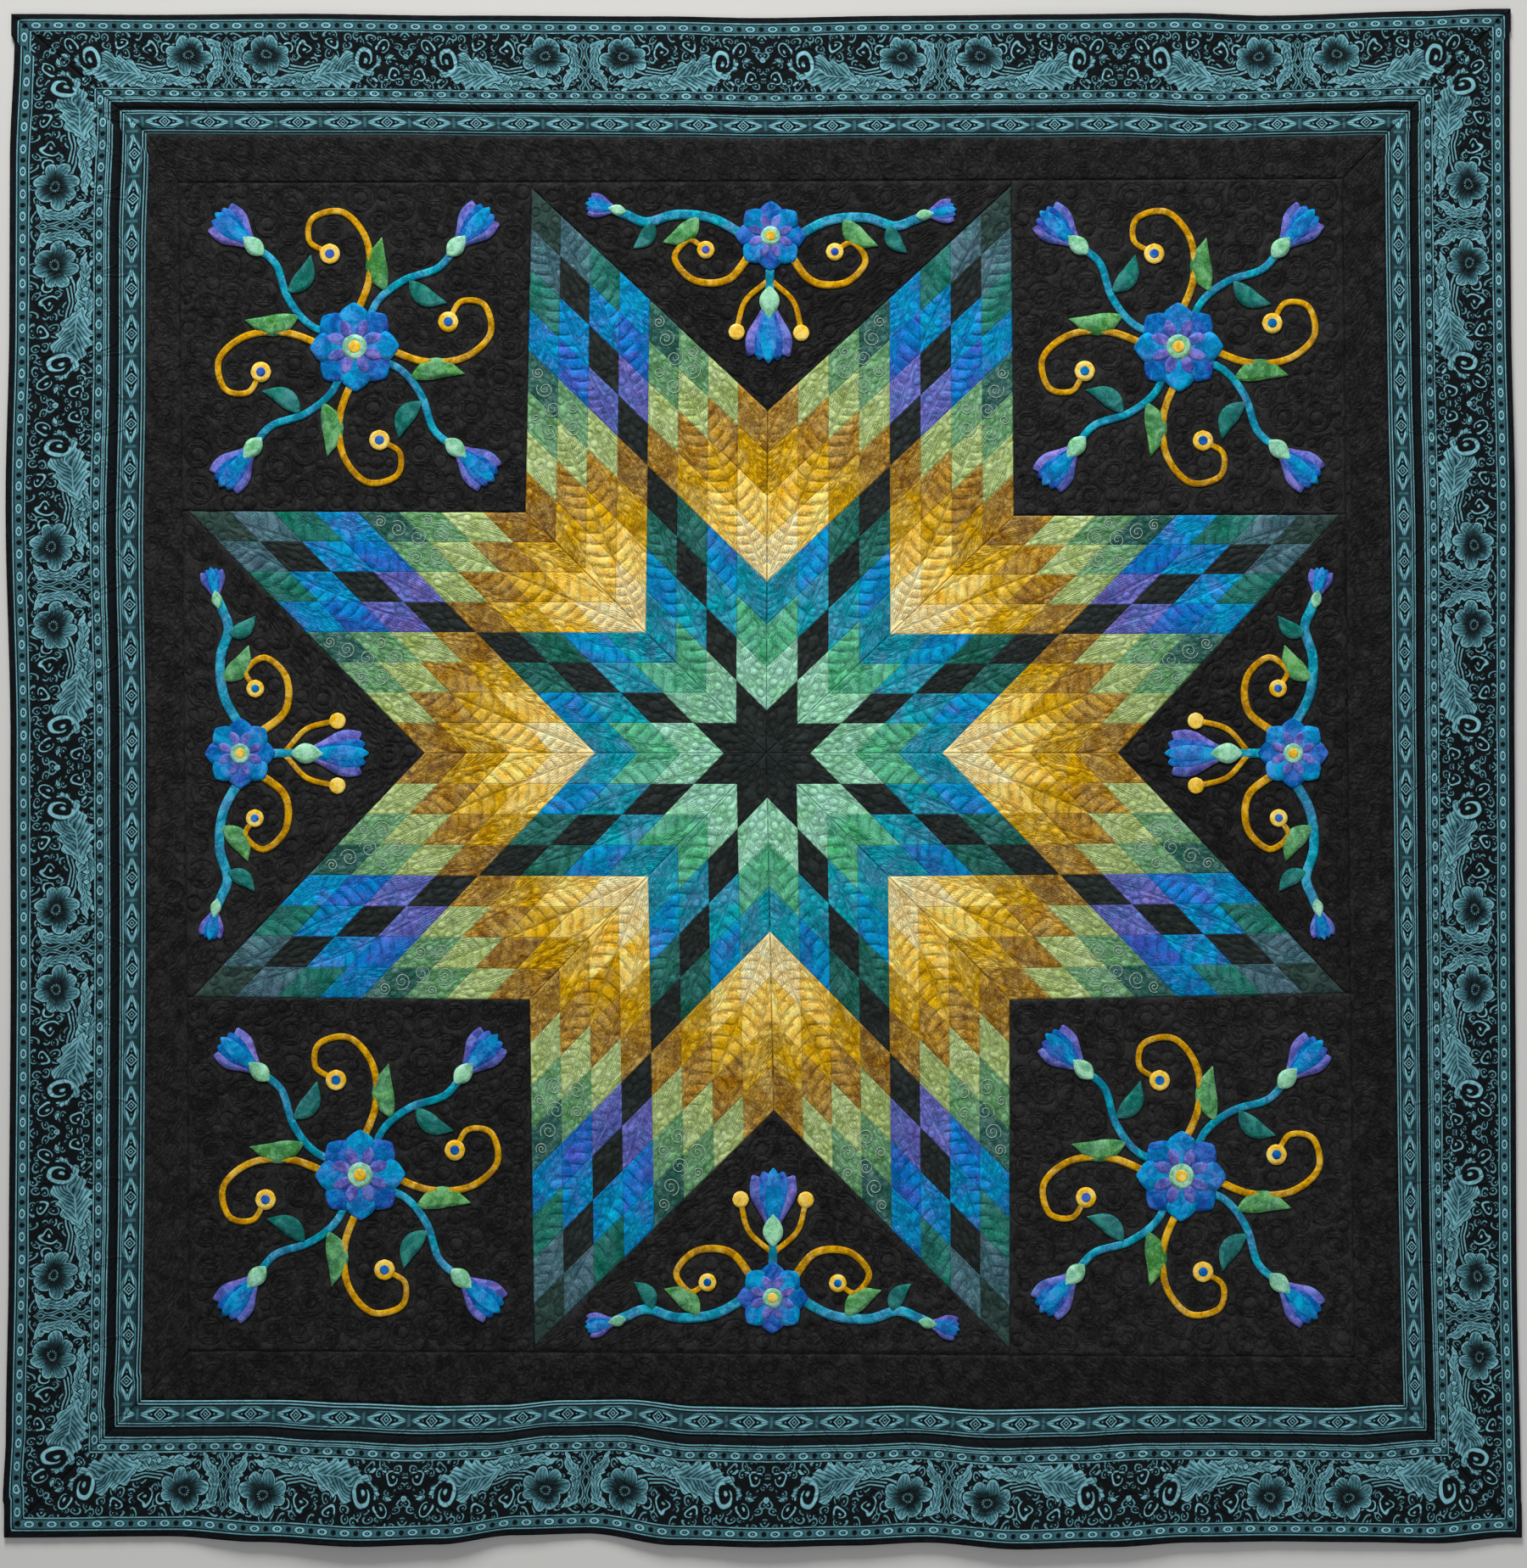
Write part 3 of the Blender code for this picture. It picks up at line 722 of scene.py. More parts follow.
def weave(tree, place):
    """Returns the small relief of the crossing yarns."""
    x, y = axes(tree, place)
    yarns = x.wave(WEAVE_PITCH).peak(y.wave(WEAVE_PITCH))
    return yarns * 0.12 + noise(tree, place, 900.0, 2.0) * 0.3


def seam_mark(tree):
    """Returns 1 on a seam between small diamonds, from the patch map."""
    gaps = [-((place.fract() - 0.5).abs()) + 0.5 for place in map_axes(tree, "patch")]
    return (gaps[0].least(gaps[1]) * STRIP).fall(0.15, 1.1)


def dye_drift(tree, colour, drift, amount):
    """Turns the hue a little and deepens the colour where the dye took better."""
    hue = drift * amount + (0.5 - amount / 2)
    inputs = {"Color": colour, "Hue": hue, "Saturation": drift * -0.5 + 1.3}
    return new_node(tree, "HueSaturation", inputs).outputs["Color"]


print(f"the yarns lie {WEAVE_PITCH / MM:.1f} mm apart")

# %% The cottons of the star, the ground and the back
Cloth = namedtuple("Cloth", "dark mid light")
CLOTH_STOPS = (0.3, 0.5, 0.72)
WARM = ("pale_green", "ochre", "mustard", "straw", "cream", "vine_gold", "bud_yellow", "moss")
WARM_DRIFT = 0.04
COOL_DRIFT = 0.14


def cotton(name, cloth, patchwork=False, contrast=1.0, gain=1.0, grain_share=0.8):
    """Returns a mottled cotton in three tones of one dye."""
    drift = WARM_DRIFT if name in WARM else COOL_DRIFT
    gain = min(gain, 1.0 / linear(max(cloth.mid)))
    material, tree, shader, place = new_cloth_material(name)
    cut = attribute(tree, "cut") * 9.0
    cloud = noise(tree, place, 52.0, 5.0, 0.66, 0.7, cut)
    grain = noise(tree, place, 330.0, 3.0, 0.7)
    tone = (cloud - 0.5) * (1.35 * contrast) + (grain - 0.5) * grain_share
    tone = tone + (attribute(tree, "cut") - 0.5) * 0.1 + 0.5
    shades = [paint(shade, gain) for shade in cloth]
    colour = ramp(tree, tone, list(zip(CLOTH_STOPS, shades)))
    colour = dye_drift(tree, colour, noise(tree, place, 30.0, 3.0, 0.6, 0.4, cut), drift)
    dent, darkening = groove_marks(tree)
    if patchwork:
        seam = seam_mark(tree)
        dent = dent + seam * 0.7
        # Each seam is also darkened a little: painted shade in its dip.
        darkening = darkening.peak(seam * 0.3)
    finish_cloth(tree, shader, colour, darkening, weave(tree, place) - dent)
    return material


STAR_CLOTHS = {
    "pine": Cloth((30, 46, 44), (41, 59, 54), (54, 72, 68)),
    "slate": Cloth((48, 76, 84), (67, 97, 106), (88, 120, 130)),
    "teal_green": Cloth((24, 84, 74), (40, 104, 94), (60, 124, 114)),
    "azure": Cloth((18, 100, 148), (36, 126, 178), (56, 148, 202)),
    "royal": Cloth((35, 84, 152), (50, 104, 178), (68, 122, 198)),
    "purple": Cloth((74, 80, 142), (94, 101, 167), (119, 122, 194)),
    "star_black": Cloth((24, 30, 28), (32, 37, 36), (41, 47, 45)),
    "deep_teal": Cloth((25, 74, 63), (38, 92, 84), (57, 114, 106)),
    "lagoon": Cloth((20, 100, 149), (34, 123, 174), (50, 144, 196)),
    "cerulean": Cloth((28, 106, 124), (46, 134, 154), (64, 156, 178)),
    "leaf_green": Cloth((58, 128, 94), (81, 156, 121), (104, 180, 143)),
    "seafoam": Cloth((108, 160, 130), (135, 189, 159), (158, 212, 183)),
    "night_teal": Cloth((32, 71, 61), (48, 92, 84), (88, 122, 114)),
    "moss": Cloth((76, 118, 76), (100, 144, 103), (128, 170, 130)),
    "pale_green": Cloth((132, 150, 90), (158, 176, 115), (182, 198, 142)),
    "ochre": Cloth((112, 78, 40), (148, 113, 53), (186, 150, 76)),
    "mustard": Cloth((152, 113, 34), (186, 148, 54), (214, 176, 80)),
    "straw": Cloth((196, 152, 66), (224, 182, 94), (246, 210, 128)),
    "cream": Cloth((234, 202, 134), (250, 222, 160), (255, 240, 190)),
}
star_materials = {name: cotton(name, cloth, True, 1.0, STAR_GAIN)
                  for name, cloth in STAR_CLOTHS.items()}
BLACK = Cloth((18, 18, 18), (31, 31, 30), (46, 46, 45))
ground_cotton = cotton("ground_cotton", BLACK, grain_share=1.1)
binding_cotton = cotton("binding_cotton", Cloth((7, 9, 12), (13, 16, 19), (24, 28, 32)))
back_cotton = cotton("back_cotton", Cloth((24, 48, 52), (34, 62, 66), (46, 78, 83)), False, 1.3)
print("cottons:", len(bpy.data.materials))

# %% [markdown]
# ## Panels of cloth
#
# A sewn panel is a flat piece of cloth whose edges are turned down into the seams. So
# each panel starts as a grid, its rim is extruded as a seam allowance, and then every
# vertex is laid on its place in the draft. The rim's vertices stay below their
# neighbours, which gives each seam its narrow fold.

# %% Make a panel
RIM_SCALE = 1.02
RIM_DROP = 1.4
SEAM_LEVEL = 3.5
SEAM_GAP = 0.05
NO_LINE = 20.0


def vertex_spots(piece):
    """Returns the places of a piece's vertices, one row for each."""
    spots = np.empty(len(piece.data.vertices) * 3)
    piece.data.vertices.foreach_get("co", spots)
    return spots.reshape(-1, 3)


def loop_corners(piece):
    """Returns the number of the vertex at each corner of each face."""
    corner = np.empty(len(piece.data.loops), int)
    piece.data.loops.foreach_get("vertex_index", corner)
    return corner


def cloth_grid(name, columns, rows):
    """Adds a grid with a turned rim; returns it, its places from 0 to 1, and its rim."""
    bpy.ops.object.select_all(action="DESELECT")
    bpy.ops.mesh.primitive_grid_add(x_subdivisions=columns, y_subdivisions=rows, size=2.0)
    piece = bpy.context.object
    piece.name = name
    piece.data.name = name
    bpy.ops.object.mode_set(mode="EDIT")
    bpy.ops.mesh.select_all(action="SELECT")
    bpy.ops.mesh.region_to_loop()
    bpy.ops.mesh.extrude_edges_move()
    bpy.ops.transform.resize(value=(RIM_SCALE, RIM_SCALE, 1.0))
    bpy.ops.object.mode_set(mode="OBJECT")
    places = vertex_spots(piece)[:, :2]
    rim = np.abs(places).max(1) > (1.0 + RIM_SCALE) / 2
    places[rim] /= RIM_SCALE
    return piece, np.clip(places * 0.5 + 0.5, 0.0, 1.0), rim


print("the turned rim is", RIM_SCALE, "times as wide as the grid")


# %% Lay a panel and give it its cloth
def lay(piece, flat, height):
    """Puts the piece's vertices at flat places and heights given in millimetres."""
    spots = np.column_stack([flat, height]) * MM
    piece.data.vertices.foreach_set("co", spots.ravel())
    piece.data.update()
    bpy.context.view_layer.objects.active = piece
    piece.select_set(True)
    bpy.ops.object.shade_smooth()


def crease_rim(piece, rim):
    """Shades the turned rim flat, so that it doesn't tilt the light on the cloth beside it."""
    piece.data.polygons.foreach_set("use_smooth", ~rim[loop_corners(piece).reshape(-1, 4)].any(1))


def lay_sewn(piece, rim, flat, height, lift=0.0, rim_level=SEAM_LEVEL - RIM_DROP):
    """Lays a piece and turns its rim down into the seams."""
    height[rim] = rim_level
    lay(piece, flat, height + lift)
    crease_rim(piece, rim)


def dress(piece, cloths, away, across, cut, cut_on="POINT"):
    """Gives a piece its cloths, and the numbers that they read at its points or faces."""
    kept = {"away": (away, "POINT"), "across": (across, "POINT"), "cut": (cut, cut_on)}
    for name, (values, domain) in kept.items():
        layer = piece.data.attributes.new(name, "FLOAT", domain)
        layer.data.foreach_set("value", np.full(len(layer.data), values, np.float32))
    for cloth in cloths:
        piece.data.materials.append(cloth)


def keep_map(piece, name, spots):
    """Stores a map of the surface, one place for each vertex."""
    while piece.data.uv_layers:
        piece.data.uv_layers.remove(piece.data.uv_layers[0])
    layer = piece.data.uv_layers.new(name=name)
    layer.data.foreach_set("uv", np.asarray(spots)[loop_corners(piece)].ravel())


def face_places(piece, places):
    """Returns the middle of each four-sided face in the panel's own places."""
    return places[loop_corners(piece).reshape(-1, 4)].mean(1)


def puff(away, height, reach=6.0):
    """Returns how far the wadding lifts cloth that is so far from a line."""
    return height * (1.0 - np.exp(-away / reach))


def eased(gap, reach=5.0):
    """Returns 0 at a seam and 1 well away from it."""
    return 1.0 - np.exp(-np.asarray(gap) / reach)


def sew_in(piece, node, width, length, area=None):
    """Attaches a laid panel to the quilt's body and hides the solid that it stands for."""
    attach(piece, BODY)
    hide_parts(node)
    width * MM
    length * MM
    None if area is None else area * MM * MM


print("seams lie at", SEAM_LEVEL, "mm, turned rims", RIM_DROP, "mm lower")

# %% [markdown]
# ## The star
#
# Each large diamond is one panel of eight by eight small ones. Which cloth a small
# diamond is cut from follows its row and column, counted from the tip: four quarters,
# each shaded from its own tip.

# %% The chart of the star
TIP_SHADES = ("pine", "slate", "teal_green", "azure", "royal", "purple")
SIDE_SHADES = ("night_teal", "moss", "pale_green", "ochre", "mustard", "straw", "cream")
INNER_SHADES = ("star_black", "deep_teal", "lagoon", "cerulean", "leaf_green", "seafoam")
cloth_names = list(STAR_CLOTHS)


def star_cloth(row, column):
    """Returns the cloth of a small diamond, counted from the star's tip."""
    half = ROWS // 2
    step = row % half + column % half
    on_axis = row == column
    if row < half and column < half:
        return "star_black" if on_axis and row else TIP_SHADES[step]
    if row >= half and column >= half:
        return "star_black" if on_axis else INNER_SHADES[step]
    return SIDE_SHADES[step]


chart = np.array([[cloth_names.index(star_cloth(row, column)) for column in range(ROWS)]
                  for row in range(ROWS)])
print(chart)

# %% Sew the eight diamonds
CELLS = 16 * ROWS
STAR_PUFF = 3.3
STAR_CROWN = 0.8


def diamond_frame(places):
    """Returns places of a diamond, 0 to 1 along two sides, in its own drafted frame."""
    return np.stack([places.sum(1) * LONG_HALF, (places[:, 1] - places[:, 0]) * WIDE_HALF], 1)


def on_four_corners(places, start, right, far, left):
    """Returns flat places between four corners; both places run from 0 to 1."""
    a, b = places[:, :1], places[:, 1:]
    return start * (1 - a) * (1 - b) + right * a * (1 - b) + left * b * (1 - a) + far * a * b


def on_diamond(eighth, places):
    """Returns the flat place in the quilt of places of a diamond."""
    return on_four_corners(places, centre, notches[eighth], tips[eighth], notches[(eighth + 1) % 8])


def tucked(places, side):
    """Returns places held back by the seam's gap from the panel's four edges."""
    gap = SEAM_GAP / side
    return gap + places * (1.0 - 2.0 * gap)


sample, places, rim = cloth_grid("measure", CELLS, CELLS)
away, across = star_book.measure(diamond_frame(places))
bpy.data.objects.remove(sample)
outer_gap = (1.0 - places).min(1) * TIP_NEAR

shade_chance = np.random.default_rng(5)
for eighth in range(8):
    diamond, places, rim = cloth_grid(f"star_panel_{eighth + 1}", CELLS, CELLS)
    fill = 16.0 * places[:, 0] * (1 - places[:, 0]) * places[:, 1] * (1 - places[:, 1])
    height = SEAM_LEVEL + STAR_CROWN * np.sqrt(np.clip(fill, 0, 1))
    height += puff(away, STAR_PUFF) * eased(outer_gap)
    lay_sewn(diamond, rim, on_diamond(eighth, tucked(places, DIAMOND_SIDE)), height)
    keep_map(diamond, "patch", places * ROWS)
    cell = np.clip((face_places(diamond, places) * ROWS).astype(int), 0, ROWS - 1)
    cut = shade_chance.random((ROWS, ROWS))[cell[:, 0], cell[:, 1]]
    dress(diamond, star_materials.values(), away, across, cut, "FACE")
    from_tip = ROWS - 1 - cell
    diamond.data.polygons.foreach_set("material_index", chart[from_tip[:, 0], from_tip[:, 1]])
    sew_in(diamond, f"star_diamond_{eighth + 1}", 2 * WIDE_HALF, 2 * LONG_HALF,
           DIAMOND_SIDE * TIP_NEAR)
print("star panels laid, highest point", round(float(height.max()), 2), "mm")

# %% [markdown]
# ## Spirals of pale thread
#
# At the outer end of each side quarter the quilter changed to a thick pale thread, which
# shows up on the dark greens. Painted lines would look flat, so each spiral is a thin
# tube that rests on the cloth: a curve with a round bevel, turned into a mesh.

# %% Lay the thread on the panels
THREAD_RADIUS = 0.62
THREAD_TONES = ((0.3, paint((118, 148, 138))), (0.7, paint((190, 208, 190))))


def thread_material():
    """Returns a pale, slightly shiny thread with a fine twist."""
    material, tree, shader, place = new_cloth_material("pale_thread", 0.55)
    tone = noise(tree, place, 240.0, 2.0)
    tree.links.new(ramp(tree, tone, THREAD_TONES), shader.inputs["Base Color"])
    return material


pale_thread = thread_material()


def thread_on(diamond, eighth):
    """Lays the pale spirals on one diamond as a mesh of thin tubes."""
    bpy.ops.object.select_all(action="DESELECT")
    bpy.ops.curve.primitive_nurbs_path_add()
    thread = bpy.context.object
    thread.name = f"pale_spirals_{eighth + 1}"
    curve = thread.data
    curve.splines.clear()
    curve.dimensions = "3D"
    curve.bevel_depth = THREAD_RADIUS * MM
    curve.bevel_resolution = 1
    for middle, radius, hand in spiral_places():
        line = sampled(side_spiral(middle, radius, hand))[:, :2]
        total = line[:, 0] / LONG_HALF
        slant = line[:, 1] / WIDE_HALF
        flat = on_diamond(eighth, np.stack([(total - slant) / 2, (total + slant) / 2], 1)) * MM
        spline = curve.splines.new("POLY")
        spline.points.add(len(flat) - 1)
        for point, (x, y) in zip(spline.points, flat):
            hit, spot, _, _ = diamond.ray_cast((x, y, 0.05), (0.0, 0.0, -1.0))
            height = spot.z if hit else SEAM_LEVEL * MM
            point.co = (x, y, height + THREAD_RADIUS * MM * 0.6, 1.0)
    bpy.ops.object.convert(target="MESH")
    bpy.ops.object.shade_smooth()
    thread = bpy.context.object
    thread.data.materials.clear()
    thread.data.materials.append(pale_thread)
    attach(thread, BODY)
    return len(thread.data.polygons)


thread_faces = [thread_on(bpy.data.objects[f"star_panel_{eighth + 1}"], eighth)
                for eighth in range(8)]
print("faces of thread:", thread_faces)

# %% [markdown]
# ## Applique
#
# Applique is cut shapes of cloth sewn on top of the ground. Each spray is made once in
# its own flat frame from cut shapes along smooth curves, every one slightly domed, with
# its edge turned under. The whole spray is then copied onto its four patches.

# %% Cottons of the applique
APPLIQUE_CLOTHS = {
    "vine_gold": Cloth((150, 106, 22), (190, 142, 42), (216, 172, 70)),
    "vine_turquoise": Cloth((28, 104, 130), (42, 132, 160), (72, 166, 192)),
    "flower_royal": Cloth((28, 72, 140), (44, 98, 168), (66, 122, 194)),
    "flower_azure": Cloth((22, 98, 152), (38, 126, 184), (66, 152, 206)),
    "flower_purple": Cloth((70, 74, 140), (94, 98, 170), (122, 124, 198)),
    "leaf_bright": Cloth((58, 110, 66), (84, 142, 90), (116, 172, 116)),
    "leaf_dark": Cloth((24, 84, 80), (38, 106, 100), (60, 130, 122)),
    "bud_mint": Cloth((104, 160, 128), (134, 190, 156), (164, 214, 182)),
    "bud_yellow": Cloth((206, 160, 50), (228, 186, 84), (244, 210, 120)),
}
applique_materials = {name: cotton(name, cloth, contrast=1.4, gain=1.15)
                      for name, cloth in APPLIQUE_CLOTHS.items()}
APPLIQUE_LEVEL = 4.9
LAYER_STEP = 0.3
DOME = 0.6
GROUND_UNDER = 3.9
print("applique cottons:", len(applique_materials))

# %% One cut shape along a curve
AXIS_STEPS = 200
shape_chance = np.random.default_rng(8)


def cut_shape(axis, half_width, cloth, layer, columns=12, rows=4):
    """Makes a domed shape whose half width is a function of its share of the axis."""
    piece, places, rim = cloth_grid("cut", columns, rows)
    line = smooth_curve(axis, AXIS_STEPS)
    index = (places[:, 0] * AXIS_STEPS).round().astype(int)
    aside = left_of(unit(np.gradient(line, axis=0)))[index]
    across = places[:, 1] * 2.0 - 1.0
    flat = line[index] + aside * (half_width(places[:, 0]) * across)[:, None]
    round_off = np.clip(1.0 - across ** 4, 0.0, 1.0)
    ends = np.clip(np.minimum(places[:, 0], 1 - places[:, 0]) * 8.0, 0.0, 1.0) ** 0.5
    height = APPLIQUE_LEVEL + layer * LAYER_STEP + DOME * round_off * ends
    lay_sewn(piece, rim, flat, height, rim_level=GROUND_UNDER)
    keep_map(piece, "patch", places)
    dress(piece, [applique_materials[cloth]], NO_LINE, NO_LINE, shape_chance.random(), "FACE")
    return piece


print("a cut shape is bent in", AXIS_STEPS, "steps along its axis")


# %% Vines, leaves and petals
def vine(points, width, cloth, layer=0, end_share=1.0):
    """A long band that may narrow towards its end."""
    def half(a):
        return width / 2 * (1.0 + (end_share - 1.0) * a)
    return cut_shape(points, half, cloth, layer, 6 * len(points))


def leaf(base, tip, width, cloth, bend=0.12, layer=1):
    """A pointed leaf that curves a little to one side."""
    base, tip = np.array(base, float), np.array(tip, float)
    axis = tip - base
    points = [base, base + axis * 0.5 + left_of(axis) * bend, tip]

    def half(a):
        return width / 2 * np.clip(np.sin(np.pi * a ** 0.85), 0.02, 1.0)
    return cut_shape(points, half, cloth, layer, 14)


def disc(middle, radius, cloth, layer=2):
    """A round berry or flower centre."""
    middle = np.array(middle, float)

    def half(a):
        return radius * np.sqrt(np.clip(1.0 - (2.0 * a - 1.0) ** 2, 0.01, 1.0))
    spine = [middle - (radius, 0), middle, middle + (radius, 0)]
    return cut_shape(spine, half, cloth, layer, 12, 6)


def petal(base, angle, length, width, cloth, layer, bend=0.0):
    """A petal that is widest near its end."""
    base = np.array(base, float)
    ahead = rays(angle)
    aside = left_of(ahead)
    points = [base, base + ahead * length * 0.55 + aside * length * bend,
              base + ahead * length + aside * length * bend * 0.4]

    def half(a):
        return width / 2 * np.clip(np.sin(np.pi * a ** 1.5), 0.05, 1.0) ** 0.8
    return cut_shape(points, half, cloth, layer, 12)


print("each layer of cut shapes lies", LAYER_STEP, "mm above the last")

# %% Tulips and rosettes
TULIP_PAIRS = ((1.15, 1.0, 0.42, "flower_purple", 2, 0.1),
               (0.55, 1.02, 0.44, "flower_royal", 3, 0.06))


def tulip(base, angle, length, width):
    """A cup of five petals with a small calyx."""
    base = np.array(base, float)
    spread = math.atan2(width * 0.36, length)
    found = []
    for turn, tall, wide, cloth, layer, bend in TULIP_PAIRS:
        for hand in (1, -1):
            found.append(petal(base, angle + hand * spread * turn, length * tall, width * wide,
                               cloth, layer, -bend * hand))
    found.append(petal(base, angle, length * 1.06, width * 0.36, "flower_azure", 4))
    ahead = rays(angle)
    found.append(leaf(base - ahead * 7, base + ahead * length * 0.42, width * 0.34, "bud_mint",
                      0.0, 5))
    return found


def rosette(middle, radius, petals):
    """A flower with round petals, a row of small ones and a centre."""
    found = []
    for index in range(petals):
        angle = math.tau * index / petals
        cloth = ("flower_royal", "flower_azure")[index % 2]
        found.append(petal(middle, angle, radius, radius * 0.68, cloth, 2 + index % 2))
    for index in range(petals):
        angle = math.tau * (index + 0.5) / petals
        found.append(petal(middle, angle, radius * 0.66, radius * 0.3, "flower_purple", 4))
    found.append(disc(middle, radius * 0.28, "bud_mint", 6))
    found.append(disc(middle, radius * 0.14, "bud_yellow", 8))
    return found


print("pairs of petals in a tulip:", len(TULIP_PAIRS))


# %% The two sprays
def turn_pieces(pieces, angle):
    """Turns finished shapes about the spray's own middle."""
    turn = np.array([[math.cos(angle), math.sin(angle)], [-math.sin(angle), math.cos(angle)]])
    for piece in pieces:
        spots = vertex_spots(piece)
        spots[:, :2] = spots[:, :2] @ turn
        piece.data.vertices.foreach_set("co", spots.ravel())
    return pieces


def join_spray(name, pieces):
    """Joins cut shapes into one piece."""
    bpy.ops.object.select_all(action="DESELECT")
    for piece in pieces:
        piece.select_set(True)
    bpy.context.view_layer.objects.active = pieces[0]
    bpy.ops.object.join()
    spray = bpy.context.object
    spray.name = name
    return spray


def corner_spray():
    """Four curved arms with tulips, and four hooks with berries, round a rosette."""
    pieces = []
    for quarter in range(4):
        arm = [vine(((20, 0), (70, 22), (122, 16), (170, -8), (212, -6)), 11, "vine_turquoise")]
        arm += tulip((200, -6), 0.05, 84, 76)
        arm.append(leaf((92, 24), (146, 84), 32, "leaf_bright", 0.14))
        arm.append(leaf((128, 10), (142, -54), 28, "leaf_dark", -0.14))
        hook = [vine(((40, 0), (102, -24), (162, -20), (202, 14), (194, 58), (160, 64), (142, 38)),
                     11, "vine_gold", 0, 0.7)]
        hook.append(disc((140, 34), 15, "bud_yellow"))
        hook.append(disc((140, 34), 7, "flower_royal", 4))
        pieces += turn_pieces(arm, math.radians(90 * quarter))
        pieces += turn_pieces(hook, math.radians(90 * quarter + 45))
    return join_spray("corner_spray", pieces + rosette((0, 0), 66, 8))


def side_spray():
    """A tall tulip between two pairs of vines."""
    pieces = []
    for hand in (1, -1):
        def sided(*points):
            return [(hand * x, y) for x, y in points]

        pieces.append(vine(sided((30, 88), (84, 58), (140, 52), (184, 64), (214, 54), (232, 46)),
                           14, "vine_turquoise"))
        angle = math.atan2(-0.2, 1.0)
        pieces += tulip(sided((222, 48))[0], angle if hand > 0 else math.pi - angle, 52, 46)
        pieces.append(leaf(*sided((108, 54), (160, 94)), 30, "leaf_bright", 0.14 * hand))
        pieces.append(leaf(*sided((176, 62), (204, 104)), 24, "leaf_dark", 0.14 * hand))
        pieces.append(vine(sided((26, 104), (62, 148), (112, 150), (142, 118), (122, 90),
                                 (98, 102)), 12, "vine_gold", 0, 0.6))
        pieces.append(disc(sided((96, 104))[0], 13, "bud_yellow"))
        pieces.append(disc(sided((96, 104))[0], 6, "flower_royal", 4))
        pieces.append(vine(sided((4, 150), (36, 180), (48, 222)), 8, "vine_gold"))
        pieces.append(disc(sided((48, 226))[0], 12, "bud_yellow"))
    pieces += rosette((0, 82), 52, 8)
    pieces.append(vine(((0, 120), (0, 180)), 13, "vine_turquoise"))
    pieces += tulip((0, 164), math.pi / 2, 102, 88)
    return join_spray("side_spray", pieces)


corner_pattern = corner_spray()
side_pattern = side_spray()
print("spray faces:", len(corner_pattern.data.polygons), len(side_pattern.data.polygons))

# %% Copy the sprays onto their patches
def corner_outline(corner):
    """Returns a corner patch's notch, block edge, far corner and other block edge."""
    notch = (5 + 2 * corner) % 8
    return (notches[notch], edge_point(SIDES[(corner - 1) % 4], (notch - 1) % 8),
            block_corners[corner], edge_point(SIDES[corner], notch))


def place_spray(pattern, name, node, middle, ahead, across):
    """Copies a spray onto its patch: its X goes along ahead and its Y along across."""
    spray = pattern.copy()
    spray.data = pattern.data.copy()
    spray.name = name
    bpy.context.scene.collection.objects.link(spray)
    spots = vertex_spots(pattern) / MM
    flat = middle + spots[:, :1] * ahead + spots[:, 1:2] * across
    spray.data.vertices.foreach_set("co", (np.column_stack([flat, spots[:, 2]]) * MM).ravel())
    spray.data.update()
    area = sum(face.area for face in spray.data.polygons)
    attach(spray, BODY)
    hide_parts(node)
    area / 0.3
    return flat


spray_spots = {}
for corner in range(4):
    notch, edge_before, far, edge_after = corner_outline(corner)
    middle = (notch + edge_before + far + edge_after) / 4
    ahead = unit(far - notch)
    spray_spots["corner", corner] = place_spray(
        corner_pattern, f"corner_applique_{corner + 1}", f"applique_corner_{corner + 1}",
        middle, ahead, left_of(ahead))
for number, side in enumerate(SIDES):
    first, second = SIDE_TIPS[side]
    middle = (edge_point(side, first) + edge_point(side, second)) / 2
    inward = unit(notches[(first + 1) % 8] - middle)
    spray_spots["side", number] = place_spray(
        side_pattern, f"side_applique_{number + 1}", f"applique_side_{number + 1}",
        middle, -left_of(inward), inward)
bpy.data.objects.remove(corner_pattern)
bpy.data.objects.remove(side_pattern)
print("sprays laid:", len(spray_spots))

# %% [markdown]
# ## The black ground
#
# The patches between the points are quilted with pebbles of many sizes, some with a ring
# or a spiral inside. Under and close to the applique the cloth is held down flat, so the
# flowers stand a little proud of it.

# %% Quilt a ground patch
GROUND_PUFF = 3.0
GROUND_SIZES = (21.0, 17.0, 14.0, 11.0, 9.0, 7.0)
GROUND_TRIES = 7000
SQUARE_CELLS = 124
TRIANGLE_COLUMNS = 144
TRIANGLE_ROWS = 74


def ground_panel(name, on_patch, outline, columns, rows, spray, seed):
    """Lays one ground patch with its pebbles; on_patch maps places to the quilt."""
    chance = np.random.default_rng(seed)
    edge_book = LineBook([np.array(outline + outline[:1])])
    spray_tree = near_tree(spray)

    def clear_of(x, y):
        return min(edge_book.away(x, y), spray_tree.find((x, y, 0.0))[2] - 3.0)

    candidates = on_patch(chance.random((GROUND_TRIES, 2)))
    lines = pebble_lines(packed_circles(candidates, GROUND_SIZES, clear_of), chance)
    panel, places, rim = cloth_grid(name, columns, rows)
    flat = on_patch(places)
    away, across = LineBook(lines).measure(flat)
    free = np.array([spray_tree.find((x, y, 0.0))[2] for x, y in flat])
    ease = np.clip((free - 4.0) / 7.0, 0.0, 1.0) * eased(edge_book.measure(flat)[0], 3.0)
    lay_sewn(panel, rim, flat, SEAM_LEVEL + puff(away, GROUND_PUFF) * ease)
    keep_map(panel, "patch", places)
    dress(panel, [ground_cotton], away, across, chance.random())
    return panel


print("largest pebble of the ground:", GROUND_SIZES[0], "mm in radius")

